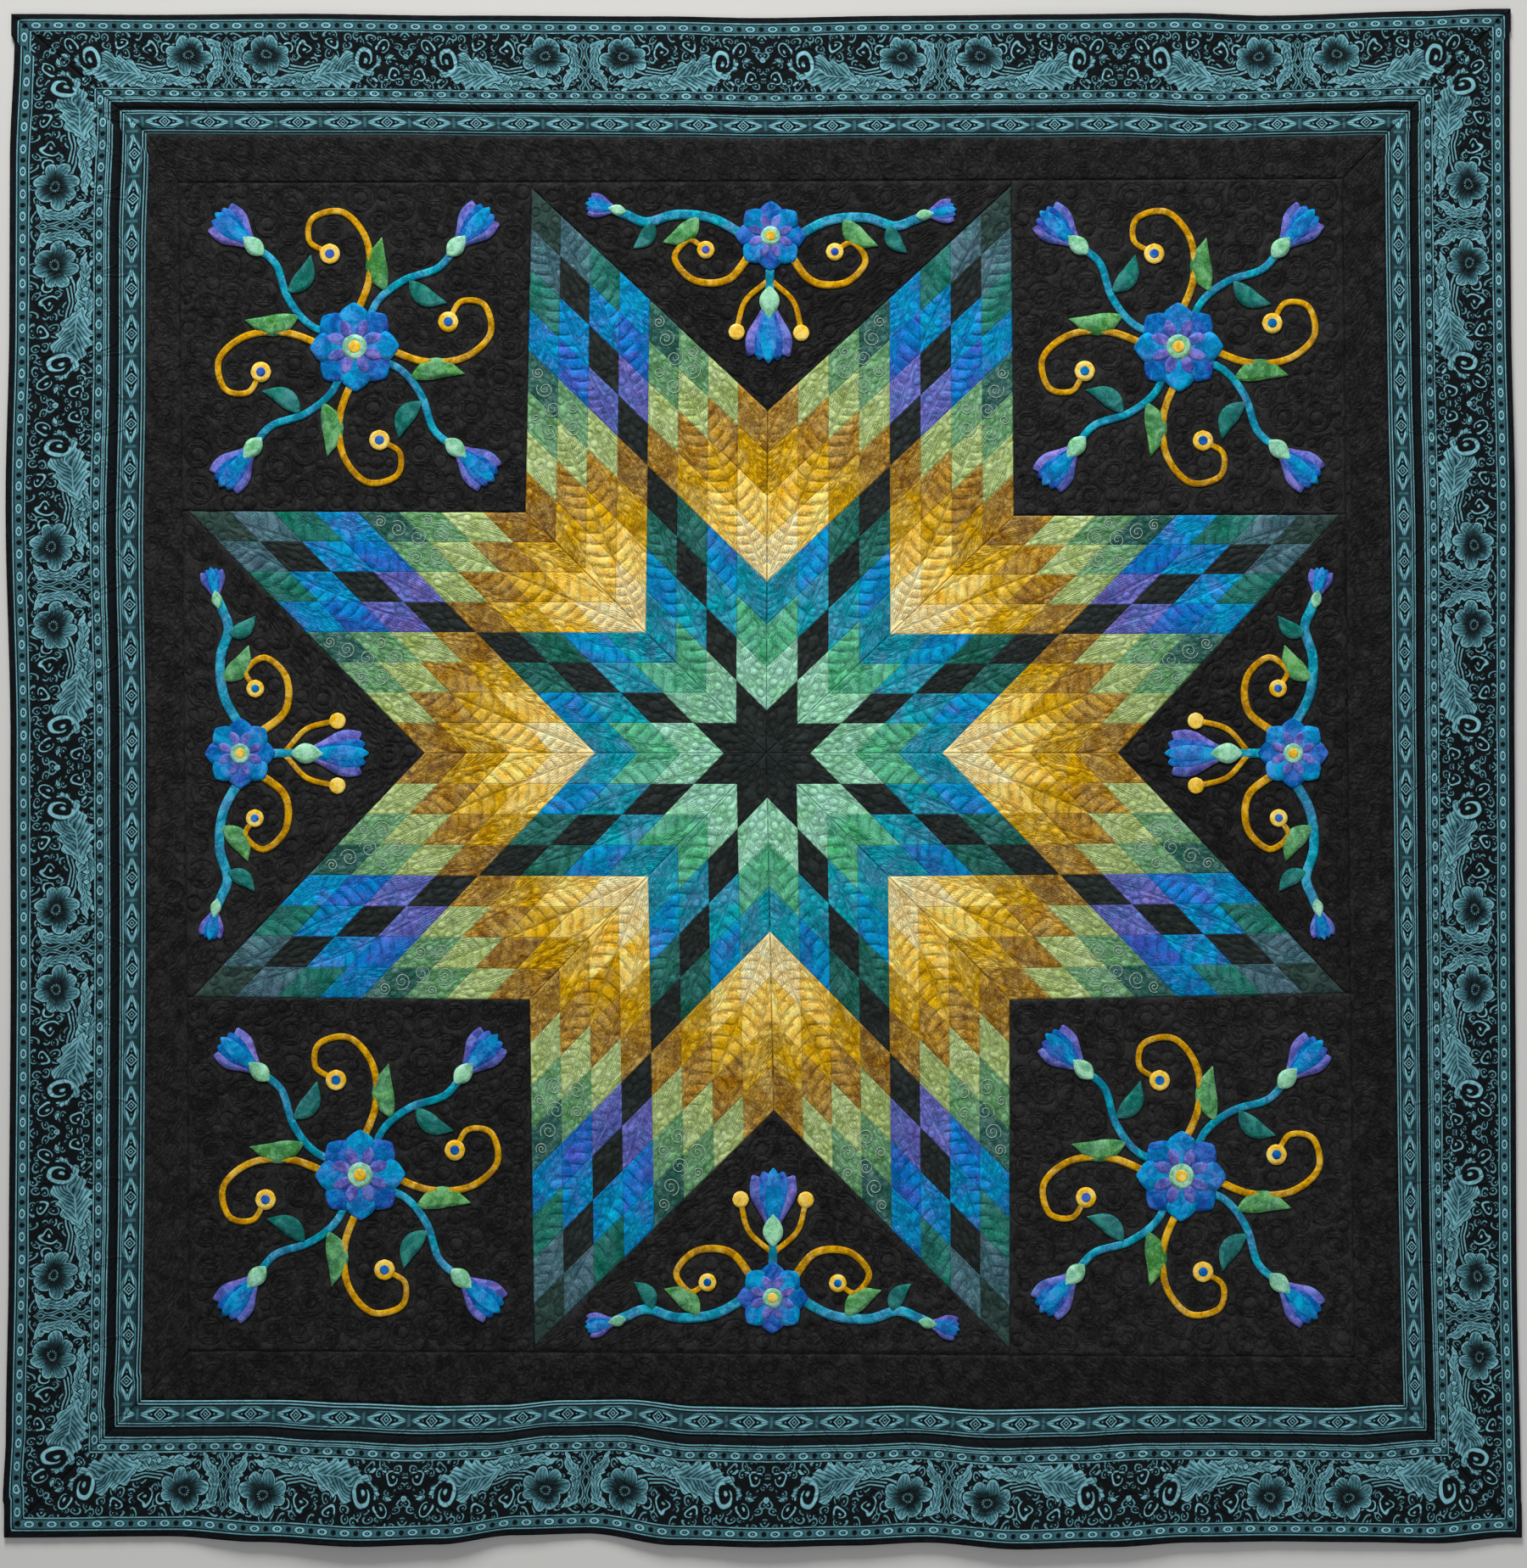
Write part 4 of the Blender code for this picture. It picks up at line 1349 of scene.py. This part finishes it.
# %% Lay the ground patches
for corner in range(4):
    outline = corner_outline(corner)

    def on_square(places, outline=outline):
        return on_four_corners(places, *outline)

    panel = ground_panel(f"ground_corner_{corner + 1}", on_square, list(outline), SQUARE_CELLS,
                         SQUARE_CELLS, spray_spots["corner", corner], 20 + corner)
    sew_in(panel, f"corner_square_{corner + 1}", DIAMOND_SIDE + TIP_FLOAT, DIAMOND_SIDE + TIP_FLOAT)

for number, side in enumerate(SIDES):
    first, second = SIDE_TIPS[side]
    notch = notches[(first + 1) % 8]
    feet = edge_point(side, first), edge_point(side, second)
    shoulders = tips[first], tips[second]

    def on_triangle(places, notch=notch, feet=feet, shoulders=shoulders):
        first_row = 1.0 / TRIANGLE_ROWS
        up = places[:, 1]
        low_share = np.clip(up / first_row, 0, 1)[:, None]
        high_share = np.clip((up - first_row) / (1 - first_row), 0, 0.999)[:, None]
        ends = []
        for foot, shoulder in zip(feet, shoulders):
            ends.append(foot + (shoulder - foot) * low_share + (notch - shoulder) * high_share)
        return ends[0] + (ends[1] - ends[0]) * places[:, :1]

    outline = [feet[0], feet[1], shoulders[1], notch, shoulders[0]]
    panel = ground_panel(f"ground_side_{number + 1}", on_triangle, outline, TRIANGLE_COLUMNS,
                         TRIANGLE_ROWS, spray_spots["side", number], 40 + number)
    sew_in(panel, f"side_triangle_{number + 1}", 2 * TIP_NEAR, TIP_NEAR + TIP_FLOAT,
           TIP_NEAR * TIP_NEAR + 2 * TIP_NEAR * TIP_FLOAT)
print("ground patches laid")

# %% [markdown]
# ## The printed borders
#
# The border is cut from one printed cloth: fine lines, a row of diamonds, rows of beads
# and a broad band of scrolls and flowers, which runs forwards and then mirrored. It is
# drawn with distances: how far a point is from a circle, a curve or a petal's edge. The
# map of each strip holds millimetres along the side and out from the field, so that the
# print follows the border round its mitred corners.

# %% The bands of the print, and its curls
REPEAT = 536.0
DIAMOND_PITCH = 67.0
BEAD_PITCH = 33.5
BAND_FINE = (0.0, 8.0)
BAND_DIAMOND = (8.0, 31.0)
BAND_FINE_TWO = (31.0, 38.5)
BAND_FINE_THREE = (50.0, 57.0)
BAND_BEAD = (57.0, 74.0)
BAND_SCROLL = (74.0, 163.0)
BAND_BEAD_TWO = (163.0, 183.0)


def length_of(x, y):
    """Returns the distance from where both terms are 0."""
    return (x * x + y * y).math("SQRT")


def lay_over(under, over):
    """Puts one shape with its dark surround over what is already drawn."""
    light, cover = over
    return (under * (-cover + 1.0)).peak(light)


def curl(x, y, turn, radius, width):
    """Returns a thin C-shaped curl that winds in and ends in a knob."""
    reach = length_of(x, y)
    angle = (y.math("ARCTAN2", x) * (1.0 / math.tau) + turn).fract()
    path = angle * (-0.55 * radius) + radius
    half = angle * (-0.3 * width) + width * 0.5
    arc = ((reach - path).abs() - half).fall(-0.8, 0.5) * angle.inside(0.03, 0.9, 0.03)
    return arc.peak(reach.fall(radius * 0.12, radius * 0.26))


def curl_field(tree, place, pitch):
    """Returns many small curls, one in each cell of a scattered pattern."""
    cells = new_node(tree, "TexVoronoi", {"Vector": place, "Scale": 1.0 / pitch, "Randomness": 0.7},
                     voronoi_dimensions="2D")
    local = new_node(tree, "VectorMath", {0: place, 1: cells.outputs["Position"]},
                     operation="SUBTRACT")
    tint = new_node(tree, "SeparateColor", {0: cells.outputs["Color"]})
    x, y = axes(tree, local.outputs[0])
    return curl(x, y, Term(tree, tint.outputs[0]), pitch * 0.42, pitch * 0.19)


print("the print repeats every", REPEAT, "mm")


# %% Leaves and flowers of the print
def leaf_body(along, across, half_length, half_width, scallop=13.0, vein=7.0):
    """Returns a shaded leaf with a light scalloped rim and veins, and what it covers."""
    share = along * (1.0 / half_length)
    width = (-(share * share) + 1.0).peak(0.0).math("SQRT") * half_width
    into = width - across.abs() + (along.wave(scallop) - 0.5) * (half_width * 0.3)
    rim = into.inside(0.3, 2.4, 0.6) * 0.95
    veins = (along + across.abs() * 1.3).wave(vein).rise(0.15, 0.6)
    body = (veins * 0.36 + into.fall(0.0, half_width * 0.9) * 0.34 + 0.26) * into.rise(-0.2, 0.4)
    rib = across.abs().fall(0.7, 1.5) * into.rise(1.0, 2.0) * 0.85
    return rim.peak(body).peak(rib), into.rise(-2.4, -0.8)


def flower(x, y, radius, petals):
    """Returns a flower with round petals that darken towards the middle, and its cover."""
    reach = length_of(x, y)
    turn = (y.math("ARCTAN2", x) * (petals / math.tau)).fract() - 0.5
    round_edge = (turn * math.pi).math("COSINE").peak(0.0).math("SQRT")
    into = (round_edge * 0.36 + 0.64) * radius - reach
    body = reach.rise(radius * 0.2, radius * 0.95) * 0.72 + (turn * 26.0).math("COSINE") * 0.1
    body = body * turn.abs().fall(0.42, 0.5) * into.rise(-0.2, 0.6)
    rim = into.inside(0.3, 2.8, 0.6) * 0.95
    spokes = (turn * 12.0).math("COSINE")
    seeds = reach.inside(radius * 0.14, radius * 0.24, 0.8) * spokes.rise(0.0, 0.5)
    return rim.peak(body).peak(seeds * 0.8), into.rise(-2.6, -1.0)


def vector_of(tree, u, v):
    """Returns a vector with u and v as its X and Y."""
    return new_node(tree, "CombineXYZ", {0: u, 1: v}).outputs[0]


def wobbled(tree, u, v, reach):
    """Returns both places moved a little by soft noise, as a hand-drawn line is."""
    flat = vector_of(tree, u, v)
    sway = noise(tree, flat, 0.03, 0.0) - 0.5
    lean = noise(tree, flat, 0.036, 0.0, 0.5, 0.4) - 0.5
    u, v = u + sway * reach, v + lean * reach
    return u, v, vector_of(tree, u, v)


print("its diamonds lie", DIAMOND_PITCH, "mm apart, its beads", BEAD_PITCH, "mm")

# %% The scroll band
FREE_CURLS = ((150.0, 62.0, 0.2, 13.0), (112.0, 70.0, 0.6, 11.0), (178.0, 66.0, 0.9, 10.0),
              (18.0, 22.0, 0.45, 12.0), (32.0, 66.0, 0.1, 13.0))


def scroll_light(tree, u, v):
    """Returns the scroll band's light; u runs from one mirror line to the next."""
    u, v, place = wobbled(tree, u, v, 17.0)
    w = -u + REPEAT / 2
    light = curl_field(tree, place, 16.0) * 0.78
    for x, y, turn, radius in FREE_CURLS:
        cleared = length_of(u - x, v - y).fall(radius * 1.05, radius * 1.3)
        light = lay_over(light, (curl(u - x, v - y, turn, radius, 3.6), cleared))
    strand = v - 30.0 - (w - 128.0) * (w - 128.0) * 0.0022
    sheaf = strand.abs().fall(8.5, 10.5) * w.inside(62.0, 196.0, 8.0)
    light = lay_over(light, (strand.wave(5.4).rise(0.35, 0.8) * sheaf * 0.85, sheaf))
    light = lay_over(light, leaf_body(w - 124.0, v - 13.0, 74.0, 12.0, 19.0, 6.5))
    lean = (u - 84.0) * 0.25
    light = lay_over(light, leaf_body(u - 88.0, v - 32.0 + lean, 50.0, 26.0, 17.0, 8.0))
    head = u - 62.0, v - 48.0
    light = lay_over(light, (curl(*head, 0.3, 19.0, 7.0), length_of(*head).fall(19.0, 22.0)))
    bow = (v - 46.0) * (v - 46.0) * 0.0075
    light = lay_over(light, leaf_body(v - 44.0, w - 17.0 - bow, 40.0, 10.0, 13.0, 6.5))
    light = lay_over(light, flower(w - 60.0, v - 52.0, 33.0, 7.0))
    knot = (w - v.wave(23.0) * 7.0).abs().inside(1.0, 3.6, 0.6)
    return lay_over(light, (knot * 0.75, w.fall(8.5, 10.5) * 0.9))


print("free curls in a repeat:", len(FREE_CURLS))


# %% The narrow bands and the whole print
def diamond_light(x, y):
    """Returns the row of small nested diamonds with light leaves round them."""
    middle = (BAND_DIAMOND[0] + BAND_DIAMOND[1]) / 2
    p = ((x * (1.0 / DIAMOND_PITCH)).fract() - 0.5).abs() * DIAMOND_PITCH
    high = (y - middle).abs()
    nest = (p + high) * (1.0 / 9.0)
    halo = p * (1.0 / 19.0) + high * (1.0 / 9.5)
    taper = p.rise(9.0, 31.0) * -8.4 + 11.0
    stripes = high.math("DIVIDE", taper).wave(0.52).rise(0.2, 0.75) * 0.6 + 0.52
    leaves = stripes * (taper - high).rise(0.0, 1.0) * p.fall(25.0, 33.0).peak(0.35)
    light = leaves * halo.rise(0.96, 1.1) + length_of(p - 13.0, high).fall(0.8, 1.8) * 0.8
    light = light.peak((-p + DIAMOND_PITCH / 2).fall(1.6, 3.4) * high.fall(7.0, 10.0) * 0.5)
    light = light.peak(halo.rise(1.0, 1.2) * 0.28)
    return light.peak(nest.inside(0.74, 1.0, 0.08)).peak(nest.inside(0.24, 0.44, 0.06) * 0.9)


def bead_light(x, y, band):
    """Returns a row of oval beads and dark dots between two light lines."""
    middle = (band[0] + band[1]) / 2
    half = (band[1] - band[0]) / 2
    p = ((x * (1.0 / BEAD_PITCH)).fract() - 0.5).abs() * BEAD_PITCH
    high = (y - middle).abs()
    bead = length_of(p * 0.6, high)
    dot = length_of(-p + BEAD_PITCH / 2, high)
    light = high.fall(half - 4.6, half - 3.6) * 0.5 * dot.rise(3.2, 4.2)
    light = (light * bead.rise(4.8, 5.6)).peak(bead.inside(2.2, 4.6, 0.5))
    light = light.peak(bead.fall(0.6, 1.4) * 0.8)
    return light.peak(high.inside(half - 2.4, half - 0.6, 0.35) * 0.85)


PRINT_TONES = ((0.0, paint((13, 17, 19))), (0.25, paint((28, 50, 55))),
               (0.55, paint((60, 108, 117))), (1.0, paint((132, 190, 200))))


def print_material():
    """Returns the border print, drawn on the strip's own map in millimetres."""
    material, tree, shader, place = new_cloth_material("border_print")
    x, y = [place_on * (1.0 / MM) for place_on in map_axes(tree, "print")]
    u = ((x * (1.0 / REPEAT) + 0.5).fract() - 0.5).abs() * REPEAT
    fine = (y - 1.2).wave(3.9).rise(0.35, 0.8) * 0.85
    light = fine * y.inside(*BAND_FINE, 0.3).peak(y.inside(*BAND_FINE_TWO, 0.3)).peak(
        y.inside(*BAND_FINE_THREE, 0.3))
    light = light.peak(diamond_light(x, y) * y.inside(*BAND_DIAMOND, 0.3))
    for band in (BAND_BEAD, BAND_BEAD_TWO):
        light = light.peak(bead_light(x, y, band) * y.inside(*band, 0.3))
    light = light.peak(scroll_light(tree, u, y - BAND_SCROLL[0]) * y.inside(*BAND_SCROLL, 0.3))
    patchy = noise(tree, place, 70.0, 5.0, 0.7) * 0.5 + noise(tree, place, 420.0, 2.0) * 0.5
    light = light * (patchy * 0.9 + 0.5) + (patchy - 0.5) * 0.2
    colour = ramp(tree, light, PRINT_TONES)
    dent, darkening = groove_marks(tree)
    # The quilting lines darken the print as well: painted shade in the groove, mixed with the
    # thread's colour.
    finish_cloth(tree, shader, colour, darkening * 0.8, weave(tree, place) - dent)
    return material


border_print = print_material()
print("nodes in the print:", len(border_print.node_tree.nodes))

# %% Quilting of the borders
ARC_LENGTH = 268.0
ARC_SWING = 74.0
ARCS = ((1.0, 0.0), (-1.0, 0.0), (0.72, 0.0), (-0.72, 0.0), (0.4, 0.5), (-0.4, 0.5))
BORDER_PEBBLES = (17.0, 15.0, 12.5, 9.5, 7.0, 5.5)
EDGE_STEPS = 900
BORDER_TRIES = 5200


def inner_border_lines(side):
    """Returns pebbles and curls of many sizes on the black border."""
    chance = np.random.default_rng(60 + SIDES.index(side))
    places = chance.random((BORDER_TRIES, 2))
    out = 3.0 + places[:, 1] * (INNER_BORDER - 6.0)
    candidates = border_places(side, places[:, 0] * 2.0 - 1.0, out)[0]
    t = np.linspace(-1.0, 1.0, EDGE_STEPS)
    edge_book = LineBook([border_places(side, t, edge)[0] for edge in (0.0, INNER_BORDER)])
    return pebble_lines(packed_circles(candidates, BORDER_PEBBLES, edge_book.away), chance)


def print_border_lines(side):
    """Returns two interlaced rows of arcs on the printed borders, with an echo of each."""
    t = np.linspace(-1.0, 1.0, EDGE_STEPS)
    along = t * HEM
    middle = INNER_BORDER + (FLANGE - INNER_BORDER) / 2
    lines = []
    for share, turn in ARCS:
        swing = share * ARC_SWING * np.sin(math.tau * (along / ARC_LENGTH + turn))
        lines.append(border_places(side, t, middle + swing)[0])
    return lines


print("rows of arcs on the print:", len(ARCS))

# %% Lay the border strips
BORDER_PUFF = 3.0
BINDING_TUCK = 8.0
Ring = namedtuple("Ring", "name start end columns rows material slot lines")
RINGS = (
    Ring("inner_border", 0.0, INNER_BORDER, 380, 14, ground_cotton, "black_ground",
         inner_border_lines),
    Ring("narrow_border", INNER_BORDER, INNER_BORDER + NARROW_BORDER, 360, 8, border_print,
         "border_print", print_border_lines),
    Ring("wide_border", INNER_BORDER + NARROW_BORDER, FLANGE + BINDING_TUCK, 400, 28, border_print,
         "border_print", print_border_lines),
)


def mitred_t(places, out):
    """Returns t with both ends held back from the mitre by the seam's gap."""
    hold = SEAM_GAP * math.sqrt(2.0) / (BLOCK + out)
    return (places * 2.0 - 1.0) * (1.0 - hold)


for strip in RINGS:
    for side in SIDES:
        panel, places, rim = cloth_grid(f"{strip.name}_cloth_{side}", strip.columns, strip.rows)
        out = strip.start + SEAM_GAP + places[:, 1] * (strip.end - strip.start - 2 * SEAM_GAP)
        t = mitred_t(places[:, 0], out)
        flat, lift = border_places(side, t, out)
        away, across = LineBook(strip.lines(side)).measure(flat)
        mitre_gap = (1.0 - np.abs(t)) * (BLOCK + out) / math.sqrt(2.0)
        edge_gap = np.minimum(np.minimum(out - strip.start, strip.end - out), mitre_gap)
        height = SEAM_LEVEL + puff(away, BORDER_PUFF) * eased(edge_gap, 3.0)
        lay_sewn(panel, rim, flat, height, lift)
        keep_map(panel, "print", np.stack([t * (BLOCK + out), out - INNER_BORDER], 1) * MM)
        dress(panel, [strip.material], away, across, 0.1 + 0.2 * SIDES.index(side))
        width = strip.end - strip.start
        sew_in(panel, f"{strip.name}_{side}", 2 * (BLOCK + strip.end), width,
               width * (2 * BLOCK + strip.start + strip.end))
print("border strips laid")

# %% [markdown]
# ## The binding
#
# A strip of cloth folded round the raw edge finishes the quilt. Its section is a narrow
# U: over the face, round the edge, and back underneath. The section is a short list of
# points, and the grid's second direction runs along it.

# %% Binding
FOLD = ((FLANGE, 4.6), (FLANGE + 0.4, 5.3), (FLANGE + 2.5, 5.75), (FLANGE + 5.5, 5.7),
        (RING_END - 0.9, 5.3), (RING_END - 0.1, 4.2), (RING_END, 2.8), (RING_END - 0.2, 1.2),
        (RING_END - 1.2, 0.3), (FLANGE + 4.0, 0.1), (FLANGE, 0.1))
FOLD_LENGTH = sum(math.dist(first, second) for first, second in zip(FOLD, FOLD[1:]))
PUCKERS = ((0.18, 3.1, 0.0), (0.14, 7.7, 1.0))
fold_line = smooth_curve(FOLD, AXIS_STEPS)
for side in SIDES:
    strip, places, rim = cloth_grid(f"binding_cloth_{side}", 420, 14)
    section = fold_line[(places[:, 1] * AXIS_STEPS).round().astype(int)]
    out, height = section[:, 0], section[:, 1].copy()
    t = mitred_t(places[:, 0], out)
    flat, lift = border_places(side, t, out)
    pucker = sum(deep * np.sin(t * HEM / length + start) for deep, length, start in PUCKERS)
    height = height + np.where(height > 3.0, pucker, 0.0)
    height[rim & (places[:, 1] < 0.01)] -= 0.8
    lay(strip, flat, np.maximum(height, 0.0) + lift)
    keep_map(strip, "patch", np.stack([t * HEM, section[:, 0]], 1) * MM)
    dress(strip, [binding_cotton], NO_LINE, NO_LINE, 0.3)
    sew_in(strip, f"binding_{side}", 2 * HEM, FOLD_LENGTH)
print(f"the binding strip is {FOLD_LENGTH:.1f} mm wide before it is folded")

# %% [markdown]
# ## The backing
#
# The back shows only when the quilt is turned over, yet it is one large cloth that shows
# the same quilting. It is laid ring by ring like the borders, so that it follows the waves
# of the hem, and gets its thickness from a modifier.

# %% Backing cloth
BACK_THICK = 1.0
BACK_FOOT = 0.25
BACK_CELLS = 140
BACK_PEBBLES = 1500
BACK_PEBBLE = 9.0
BACK_REACH = 1080.0


def back_cloth():
    """Lays the backing: square grid places, carried to the hem by the ring they are on."""
    panel, places, rim = cloth_grid("backing_cloth", BACK_CELLS, BACK_CELLS)
    across = places * 2.0 - 1.0
    size = np.abs(across).max(1)
    inner_share = BLOCK / HEM
    out = np.clip((size - inner_share) / (1.0 - inner_share), 0.0, 1.0) * (RING_END - 1.5)
    flat = np.zeros_like(across)
    lift = np.zeros(len(across))
    edge = across / np.maximum(size, 1e-9)[:, None]
    for side in SIDES:
        axis = 1 if side in ("bottom", "top") else 0
        sign = OUTWARD[side][axis]
        chosen = np.abs(edge[:, axis] - sign) < 1e-9
        along = edge[chosen][:, 1 - axis]
        t = -along if side in ("top", "left") else along
        spots, raised = border_places(side, t, out[chosen])
        share = np.clip(size[chosen] / inner_share, 0.0, 1.0)
        flat[chosen] = centre + (spots - centre) * share[:, None]
        lift[chosen] = raised
    height = np.full(len(flat), BACK_FOOT)
    height[rim] = BACK_FOOT + 0.8
    lay(panel, flat, height + lift)
    return panel, flat


back, back_flat = back_cloth()
back_chance = np.random.default_rng(70)
back_spots = back_chance.uniform(-BACK_REACH, BACK_REACH, (BACK_PEBBLES, 2))
away, across = LineBook([circle_line(spot, BACK_PEBBLE) for spot in back_spots]).measure(back_flat)
keep_map(back, "patch", back_flat * MM)
dress(back, [back_cotton], away, across, 0.6)
bpy.ops.object.select_all(action="DESELECT")
bpy.context.view_layer.objects.active = back
back.select_set(True)
thickness = back.modifiers.new("thickness", "SOLIDIFY")
thickness.thickness = BACK_THICK * MM
thickness.offset = 1.0
bpy.ops.object.modifier_apply(modifier=thickness.name)
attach(back, BODY)
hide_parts("quilt_back")
print("backing faces:", len(back.data.polygons))

# %% [markdown]
# ## Floor and light
#
# A plain pale floor and two large soft lights. The main light comes low over the top
# edge, because only a raking light shows the quilting.

# %% Floor and lights
FLOOR_SIZE = 14.0
FLOOR_GREY = (206, 204, 200)
SKY_STRENGTH = 0.27

bpy.ops.object.select_all(action="DESELECT")
bpy.ops.mesh.primitive_plane_add(size=FLOOR_SIZE, location=(0.0, 0.0, -MM))
floor = bpy.context.object
floor.name = "floor"
floor_paint = bpy.data.materials.new("floor_paint")
floor_paint.use_nodes = True
floor_shader = floor_paint.node_tree.nodes["Principled BSDF"]
floor_shader.inputs["Base Color"].default_value = paint(FLOOR_GREY)
floor_shader.inputs["Roughness"].default_value = 0.9
floor.data.materials.append(floor_paint)


def soft_light(name, place, size, watts, spread):
    """Adds a large area light that looks at the quilt's middle."""
    toward = (Vector((0.0, 0.0, 0.0)) - Vector(place)).to_track_quat("-Z", "Y").to_euler()
    bpy.ops.object.light_add(type="AREA", location=place, rotation=toward)
    light = bpy.context.object
    light.name = name
    light.data.size = size
    light.data.energy = watts
    light.data.spread = math.radians(spread)


soft_light("key_light", (-1.0, 6.6, 3.5), size=2.6, watts=216.0, spread=100.0)
soft_light("fill_light", (2.0, -3.6, 4.6), size=3.0, watts=54.0, spread=180.0)
world = bpy.context.scene.world or bpy.data.worlds.new("studio")
bpy.context.scene.world = world
world.use_nodes = True
sky = world.node_tree.nodes["Background"]
sky.inputs["Color"].default_value = (0.9, 0.95, 1.0, 1.0)
sky.inputs["Strength"].default_value = SKY_STRENGTH
bpy.context.scene.view_settings.view_transform = "Standard"
print("lights:", [piece.name for piece in bpy.data.objects if piece.type == "LIGHT"])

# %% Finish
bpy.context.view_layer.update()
cloth_meshes = [piece.data for piece in bpy.data.objects if piece.type == "MESH"]
